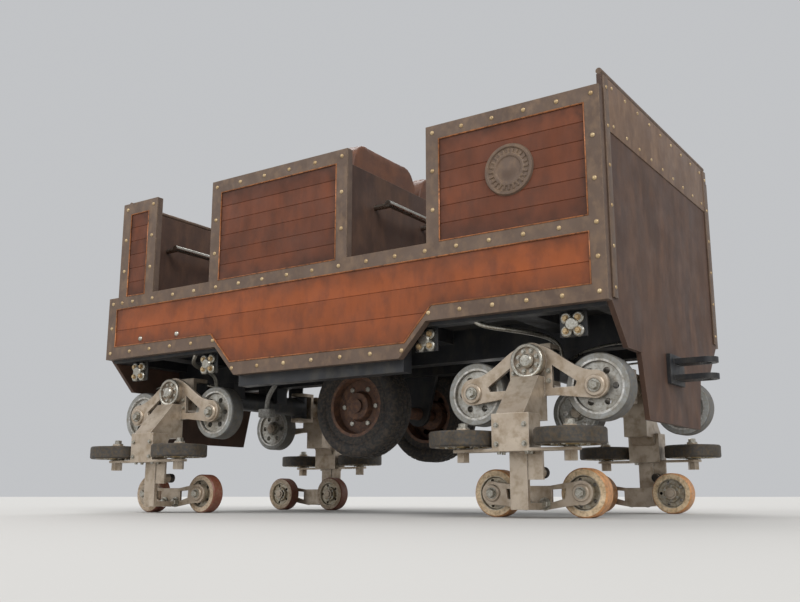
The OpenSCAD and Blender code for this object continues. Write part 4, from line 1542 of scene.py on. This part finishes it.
@dataclass
class Cabin:
    """The padded leather seats, the foam sleeves of the lap bars and the floor mats.

    A point of a seat's cover is given by two shares: across runs from -1 to 1 over the width, and
    along from 0 at the cushion's front edge to 1 at the top of the back.
    """

    seat_y: float = 0.280
    width: float = 0.548
    length: float = 0.600
    top_z: float = 1.146
    back_h: float = 0.560
    back_round: float = 0.150
    cushion_up_to: float = 0.05
    base_share: float = 0.42
    under: float = 0.106
    back_in: float = 0.004
    front_in: float = -0.012
    back_share: float = 0.985
    bolster: float = 0.050
    bolster_rise: float = 0.24
    bolster_ends: tuple[float, float] = (0.16, 0.30)
    rim_wide: float = 0.14
    rim_drop: float = 0.018
    swell_max: float = 0.010
    pressure: float = 4
    frames: int = 20
    voxel: float = 0.010
    seam: float = 0.60
    seam_wide: float = 0.022
    seam_deep: float = 0.009
    rows: tuple[float, ...] = (0.16, 0.23, 0.30, 0.37, 0.56, 0.62, 0.68, 0.74, 0.80, 0.86)
    row_wide: float = 0.006
    row_deep: float = 0.007
    sew_reach: float = 0.02
    sew_steps: tuple[int, int] = (80, 480)
    half_space: float = 0.279
    front_space: float = 0.006
    piping_r: float = 0.0042
    piping_up: float = 0.0012
    piping_points: int = 70
    piping_start: float = 0.02
    piping_run: float = 0.96
    bar_r: float = 0.019
    bar_in: float = 0.028
    sleeve_y: float = 0.075
    sleeve_r: float = 0.031
    mat_ys: tuple[float, float] = (0.075, 0.615)
    mat_xs: tuple[float, float] = (-0.03, 0.44)
    mat_t: float = 0.004
    ribs: int = 23
    rib_x: float = -0.01
    rib_in: float = 0.012
    rib_pitch: float = 0.02
    rib_half: float = 0.005
    rib_h: float = 0.003
    rib_sunk: float = 0.001

    def build(self) -> None:
        """Shapes and inflates one seat, puts it in its four places and dresses the lap bars."""
        padded = self.inflate(self.shell())
        self.sew(padded)
        for row in ("front", "rear"):
            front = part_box(f"seats_{row}")[1].x
            for name, side in NAMED_SIDES:
                self.seat(padded, row, name, Vector((front, side * self.seat_y, self.top_z)))
            self.sleeves(row)
            self.mats(row, front)

    def mats(self, row: str, front: float) -> None:
        """Lays a ribbed rubber mat on each side of the lap bar's foot.

        Args:
            row: front or rear.
            front: where the row's cushions begin along X.
        """
        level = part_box("floor_pan")[1].z
        top = level + self.mat_t
        inner, outer = self.mat_ys
        work = bmesh.new()
        for side in SIDES:
            merge(work, slab((front + self.mat_xs[0], side * inner, level),
                             (front + self.mat_xs[1], side * outer, top), 0.001, 1))
            rib = slab((-self.rib_half, side * (inner + self.rib_in), top - self.rib_sunk),
                       (self.rib_half, side * (outer - self.rib_in), top + self.rib_h), 0.0015, 1)
            stamp(work, rib, [Matrix.Translation((front + self.rib_x + self.rib_pitch * i, 0, 0))
                              for i in range(self.ribs)])
        place_piece(f"mats_{row}", work, SLEEVE_FOAM)

    def line(self, along: float) -> tuple[Vector, Vector]:
        """Gives a seat's middle line from the cushion's front edge to the top of the back.

        Args:
            along: the share of the line.

        Returns:
            The place in X and Z from the front edge of the cushion, and the direction out of the padding.
        """
        top = self.back_h
        knots = [Vector((x, 0, z)) for x, z in (
            (-0.004, -0.075), (-0.006, -0.024), (-0.040, 0.0), (-0.200, -0.010), (-0.345, -0.024),
            (-0.415, 0.0), (-0.436, 0.080), (-0.456, 0.230), (-0.480, 0.390), (-0.502, top - 0.060),
            (-0.528, top - 0.010), (-0.556, top - 0.002))]
        reach = along * (len(knots) - 1)
        i = min(int(reach), len(knots) - 2)
        t = reach - i
        p0, p1, p2, p3 = (knots[max(0, min(len(knots) - 1, i + k))] for k in (-1, 0, 1, 2))
        bend, twist = 2 * p0 - 5 * p1 + 4 * p2 - p3, 3 * p1 - p0 - 3 * p2 + p3
        here = 0.5 * (2 * p1 + (p2 - p0) * t + bend * t ** 2 + twist * t ** 3)
        ahead = 0.5 * ((p2 - p0) + 2 * bend * t + 3 * twist * t ** 2)
        ahead.normalize()
        return here, Vector((ahead.z, 0, -ahead.x))

    def half_width(self, height: float) -> float:
        """Gives half the seat's width at a height over the cushion: the shoulders are round."""
        over = min(max(0.0, height - (self.back_h - self.back_round)), self.back_round - 0.004)
        return self.width / 2 - self.back_round + math.sqrt(self.back_round ** 2 - over ** 2)

    def swell(self, across: float, along: float) -> float:
        """Gives the height of the bolsters over the middle line.

        Args:
            across: the share of the width.
            along: the share of the length.

        Returns:
            The height in metres, below zero at the rim.
        """
        edge = max(0.0, min(1.0, (abs(across) - self.seam) / self.bolster_rise))
        edge = edge * edge * (3 - 2 * edge)
        fade = max(0.0, min(1.0, (1.0 - abs(across)) / self.rim_wide))
        rim = 1.0 - (1.0 - fade) ** 3
        ends = min(1.0, along / self.bolster_ends[0], (1.0 - along) / self.bolster_ends[1])
        return self.bolster * edge * rim * max(0.0, ends) - self.rim_drop * (1 - rim)

    def cover_point(self, across: float, along: float) -> Vector:
        """Finds a point of the cover.

        Args:
            across: the share of the width.
            along: the share of the length.

        Returns:
            The point, from the middle of the cushion's front edge.
        """
        here, out = self.line(along)
        spot = here + out * self.swell(across, along)
        return Vector((spot.x, across * self.half_width(here.z), spot.z))

    def back_point(self, across: float, along: float) -> Vector:
        """Finds the point of the flat base or the flat back behind a point of the cover.

        Args:
            across: the share of the width.
            along: the share of the length.

        Returns:
            The point, from the middle of the cushion's front edge.
        """
        here, _ = self.line(along)
        x, z = self.back_in - self.length, here.z - 0.02
        if here.z < self.cushion_up_to:
            x, z = (here.x, -self.under) if along < self.base_share else (x, here.z + 0.03 - self.under)
        spot = Vector((min(x, self.front_in), 0, z))
        spot.y = across * self.half_width(spot.z) * self.back_share
        return spot

    def shell(self) -> Shape:
        """Bends a grid along the middle line and closes it with a flat base and a flat back.

        Returns:
            The closed shell of one seat, from the middle of the cushion's front edge.
        """
        work = bmesh.new()
        bmesh.ops.create_grid(work, x_segments=40, y_segments=96, size=1)
        front = list(work.verts)
        grown = bmesh.ops.extrude_face_region(work, geom=work.faces[:])
        behind = [item for item in grown["geom"] if isinstance(item, bmesh.types.BMVert)]
        for verts, place in ((front, self.cover_point), (behind, self.back_point)):
            for vert in verts:
                vert.co = place(vert.co.x, (vert.co.y + 1) / 2)
        bmesh.ops.recalc_face_normals(work, faces=work.faces)
        return work

    def inflate(self, shell: Shape) -> bpy.types.Mesh:
        """Fills the cover by a cloth simulation.

        Args:
            shell: the cover before it is filled. It is freed.

        Returns:
            The swollen mesh.
        """
        mesh = bpy.data.meshes.new("seat_cover")
        shell.to_mesh(mesh)
        shell.free()
        cover = bpy.data.objects.new("seat_cover", mesh)
        bpy.context.scene.collection.objects.link(cover)
        remesh = cover.modifiers.new("remesh", "REMESH")
        remesh.mode = "VOXEL"
        remesh.voxel_size = self.voxel
        flat = self.applied(cover)
        start = [vert.co.copy() for vert in flat.vertices]
        cloth = cover.modifiers.new("cloth", "CLOTH")
        cloth.settings.quality = 4
        cloth.settings.use_pressure = True
        cloth.settings.uniform_pressure_force = self.pressure
        cloth.settings.effector_weights.gravity = 0
        cloth.collision_settings.use_collision = False
        cloth.point_cache.frame_start, cloth.point_cache.frame_end = 1, self.frames
        for moment in range(1, self.frames + 1):
            bpy.context.scene.frame_set(moment)
        swollen = self.applied(cover)
        for vert, old in zip(swollen.vertices, start):
            step = vert.co - old
            if step.length > self.swell_max:
                vert.co = old + step * (self.swell_max / step.length)
        bpy.context.scene.frame_set(1)
        finer = cover.modifiers.new("finer", "SUBSURF")
        finer.levels = finer.render_levels = 1
        result = self.applied(cover).copy()
        bpy.data.objects.remove(cover)
        return result

    def applied(self, cover: bpy.types.Object) -> bpy.types.Mesh:
        """Bakes an object's modifiers into its mesh and takes them off it.

        Args:
            cover: the object.

        Returns:
            Its new mesh.
        """
        bpy.context.view_layer.update()
        mesh = bpy.data.meshes.new_from_object(cover.evaluated_get(bpy.context.evaluated_depsgraph_get()))
        cover.modifiers.clear()
        cover.data = mesh
        return mesh

    def channel(self, across: float, along: float) -> float:
        """Gives how deep the stitching pulls the cover in: two long seams, and rows between them.

        Args:
            across: the share of the width.
            along: the share of the length.

        Returns:
            The depth in metres.
        """
        seam = math.exp(-((abs(across) - self.seam) / self.seam_wide) ** 2)
        inside = max(0.0, 1.0 - (abs(across) / self.seam) ** 8)
        rows = sum(math.exp(-((along - place) / self.row_wide) ** 2) for place in self.rows)
        return self.seam_deep * seam + self.row_deep * inside * rows

    def sew(self, mesh: bpy.types.Mesh) -> None:
        """Pulls the cover in along its seams, and keeps it inside the seat's box.

        Args:
            mesh: the swollen cover. Its points are moved.
        """
        wide, long = self.sew_steps
        shares = [(2 * j / wide - 1, i / long) for i in range(long + 1) for j in range(wide + 1)]
        guide = KDTree(len(shares))
        for i, share in enumerate(shares):
            guide.insert(self.cover_point(*share), i)
        guide.balance()
        normals = [vert.normal.copy() for vert in mesh.vertices]
        for vert, normal in zip(mesh.vertices, normals):
            _, i, distance = guide.find(vert.co)
            if distance < self.sew_reach:
                vert.co -= normal * self.channel(*shares[i])
            vert.co.x = min(max(vert.co.x, 0.001 - self.length), self.front_space)
            vert.co.y = min(max(vert.co.y, -self.half_space), self.half_space)

    def seat(self, padded: bpy.types.Mesh, row: str, name: str, at: Vector) -> None:
        """Puts one seat in its place, with its piping.

        Args:
            padded: the sewn cover.
            row: front or rear.
            name: the side's name.
            at: the middle of the cushion's front edge.
        """
        work = bmesh.new()
        work.from_mesh(padded)
        bmesh.ops.translate(work, verts=work.verts, vec=at)
        piece = place_piece(f"seat_{row}_{name}", work, SADDLE_HIDE, smooth=80)
        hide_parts(f"seats_{row}")
        cover = BVHTree.FromPolygons([vert.co for vert in padded.vertices],
                                     [tuple(face.vertices) for face in padded.polygons])
        cords = bmesh.new()
        for across in (-self.seam, self.seam):
            merge(cords, tube(self.piping(cover, across, at), self.piping_r))
        place_piece(f"piping_{row}_{name}", cords, PIPING_HIDE, smooth=60)

    def piping(self, cover: BVHTree, across: float, at: Vector) -> list[Vector]:
        """Lays a smooth line on the cover along a seam.

        Args:
            cover: the sewn cover.
            across: where the seam lies, as a share of the width.
            at: the middle of the cushion's front edge.

        Returns:
            The line's points, a little over the cover.
        """
        points = []
        for i in range(self.piping_points):
            here, out = self.line(self.piping_start + self.piping_run * i / (self.piping_points - 1))
            spot = Vector((here.x, across * self.half_width(here.z), here.z))
            hit, _, _, _ = cover.ray_cast(spot + out * 0.08, -out, 0.2)
            points.append((hit or spot) + out * self.piping_up + at)
        for _ in range(3):
            points[1:-1] = [(before + 2 * here + after) / 4
                            for before, here, after in zip(points, points[1:], points[2:])]
        return points

    def sleeves(self, row: str) -> None:
        """Puts a foam sleeve and an end cap on each half of a lap bar.

        Args:
            row: front or rear.
        """
        low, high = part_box(f"lap_bar_{row}")
        centre = Vector((low.x + self.bar_in, 0, high.z - self.bar_in))
        bar, foam = self.bar_r, self.sleeve_r
        sleeve = [(bar, 0.0), (0.026, 0.0), (foam, 0.006), (foam, 0.204), (0.030, 0.210), (foam, 0.216),
                  (foam, 0.424), (0.026, 0.430), (bar, 0.430)]
        cap = [(bar, -0.020), (0.0225, -0.020), (0.0225, -0.002), (0.018, 0.003), (0.0, 0.004)]
        work = bmesh.new()
        for side in SIDES:
            outward = Y_AXIS * side
            stamp(work, turned(sleeve), [facing(centre + outward * self.sleeve_y, outward)])
            stamp(work, turned(cap), [facing(centre + outward * high.y, outward)])
        place_piece(f"sleeves_{row}", work, SLEEVE_FOAM, body=f"lap_bar_{row}")


@dataclass
class DriveUnit:
    """Tread blocks and wheel nuts of the two big tyres.

    A row of blocks is its place along Y and its turn in steps, and a nut its width and height.
    """

    radius: float = 0.230
    track: float = 0.300
    centre_z: float = 0.479
    blocks: int = 44
    block_rows: tuple[tuple[float, float], ...] = ((-0.030, 0.0), (0.0, 0.5), (0.030, 0.0))
    block_half: tuple[float, float] = (0.0125, 0.012)
    block_sunk: float = 0.004
    block_h: float = 0.003
    nuts: int = 6
    nut: tuple[float, float] = (0.022, 0.016)
    nut_r: float = 0.088
    nut_out: float = 0.010

    def build(self) -> None:
        """Builds both wheels."""
        blocks, nuts = bmesh.new(), bmesh.new()
        half_x, half_y = self.block_half
        for side in SIDES:
            hub = Vector((0, side * self.track, self.centre_z))
            for offset, turn in self.block_rows:
                block = slab((-half_x, -half_y, -self.block_sunk), (half_x, half_y, self.block_h), 0.0015, 1)
                stamp(blocks, block, [Matrix.Translation(hub + Y_AXIS * offset)
                                      @ Matrix.Rotation(math.tau * (i + turn) / self.blocks, 4, "Y")
                                      @ Matrix.Translation((0, 0, self.radius)) for i in range(self.blocks)])
            outward = Y_AXIS * side
            face = facing(hub + outward * self.nut_out, outward)
            stamp(nuts, hex_bolt(*self.nut), around(face, self.nut_r, self.nuts))
        place_piece("tread_blocks", blocks, TYRE_RUBBER, body=DRIVE)
        place_piece("wheel_nuts", nuts, ZINC, body=DRIVE)


@dataclass
class Studio:
    """The pale floor, the soft lamps and the low camera.

    Angles are in degrees, and azimuth 0 looks at the car from -Y. Each lamp has an azimuth, an
    elevation and a strength.
    """

    azimuth: float = 214.0
    distance: float = 4.5
    height: float = 0.08
    lens: float = 41.5
    aim_z: float = 1.03
    spread: float = 38.0
    lamps: tuple[tuple[float, float, float], ...] = (
        (228.0, 40.0, 1.7), (140.0, 34.0, 0.7), (40.0, 48.0, 1.0))
    room: float = 0.66
    room_colour: str = "#e9ebee"
    floor_colour: str = "#c6c4c0"
    floor_rough: float = 0.8
    reach: float = 70.0

    def build(self) -> None:
        """Builds the floor, the lamps, the world and the camera."""
        self.floor()
        for azimuth, elevation, strength in self.lamps:
            self.lamp(azimuth, elevation, strength)
        self.world()
        self.camera()

    def away(self, azimuth: float, elevation: float) -> Vector:
        """Returns the direction from the car towards an azimuth and an elevation."""
        turn, rise = math.radians(azimuth), math.radians(elevation)
        return Vector((math.sin(turn) * math.cos(rise), -math.cos(turn) * math.cos(rise), math.sin(rise)))

    def floor(self) -> None:
        """Lays a wide pale floor that keeps the shadow."""
        work = bmesh.new()
        bmesh.ops.create_circle(work, cap_ends=True, segments=96, radius=self.reach)
        mesh = bpy.data.meshes.new("floor")
        work.to_mesh(mesh)
        work.free()
        material = bpy.data.materials.new("studio_floor")
        material.use_nodes = True
        shader = material.node_tree.nodes["Principled BSDF"]
        shader.inputs["Base Color"].default_value = linear(self.floor_colour)
        shader.inputs["Roughness"].default_value = self.floor_rough
        mesh.materials.append(material)
        floor = bpy.data.objects.new("floor", mesh)
        bpy.context.scene.collection.objects.link(floor)

    def lamp(self, azimuth: float, elevation: float, strength: float) -> None:
        """Hangs one wide soft lamp, far enough away to light the whole floor evenly.

        Args:
            azimuth: where it hangs.
            elevation: how high it hangs.
            strength: how bright it is.
        """
        data = bpy.data.lights.new("lamp", "SUN")
        data.angle = math.radians(self.spread)
        data.energy = strength
        lamp = bpy.data.objects.new("lamp", data)
        bpy.context.scene.collection.objects.link(lamp)
        lamp.rotation_euler = (-self.away(azimuth, elevation)).to_track_quat("-Z", "Y").to_euler()

    def world(self) -> None:
        """Fills the room with a plain pale light."""
        world = bpy.data.worlds.new("studio")
        world.use_nodes = True
        back = world.node_tree.nodes["Background"]
        back.inputs["Color"].default_value = linear(self.room_colour)
        back.inputs["Strength"].default_value = self.room
        bpy.context.scene.world = world

    def camera(self) -> None:
        """Stands the camera near the floor and looks up at the car, as the photograph does."""
        data = bpy.data.cameras.new("camera")
        data.lens = self.lens
        data.clip_end = 100
        camera = bpy.data.objects.new("camera", data)
        bpy.context.scene.collection.objects.link(camera)
        camera.location = self.away(self.azimuth, 0) * self.distance + Z_AXIS * self.height
        camera.rotation_euler = (Z_AXIS * self.aim_z - camera.location).to_track_quat("-Z", "Y").to_euler()
        bpy.context.scene.camera = camera


def main() -> None:
    """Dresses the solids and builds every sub-assembly in order."""
    logging.basicConfig(level=logging.INFO, format="%(message)s")
    random.seed(7)
    bpy.context.scene.view_settings.view_transform = "Standard"
    for finish, nodes in NODE_FINISHES.items():
        for name in nodes:
            dress_node(name, finish)
    for assembly in (Coachwork(), Bulkheads(), Underframe(), Wheels(), BogieFittings(), Cabin(), DriveUnit(),
                     Studio()):
        LOG.info("building %s", type(assembly).__name__)
        assembly.build()


if __name__ == "__main__":
    main()
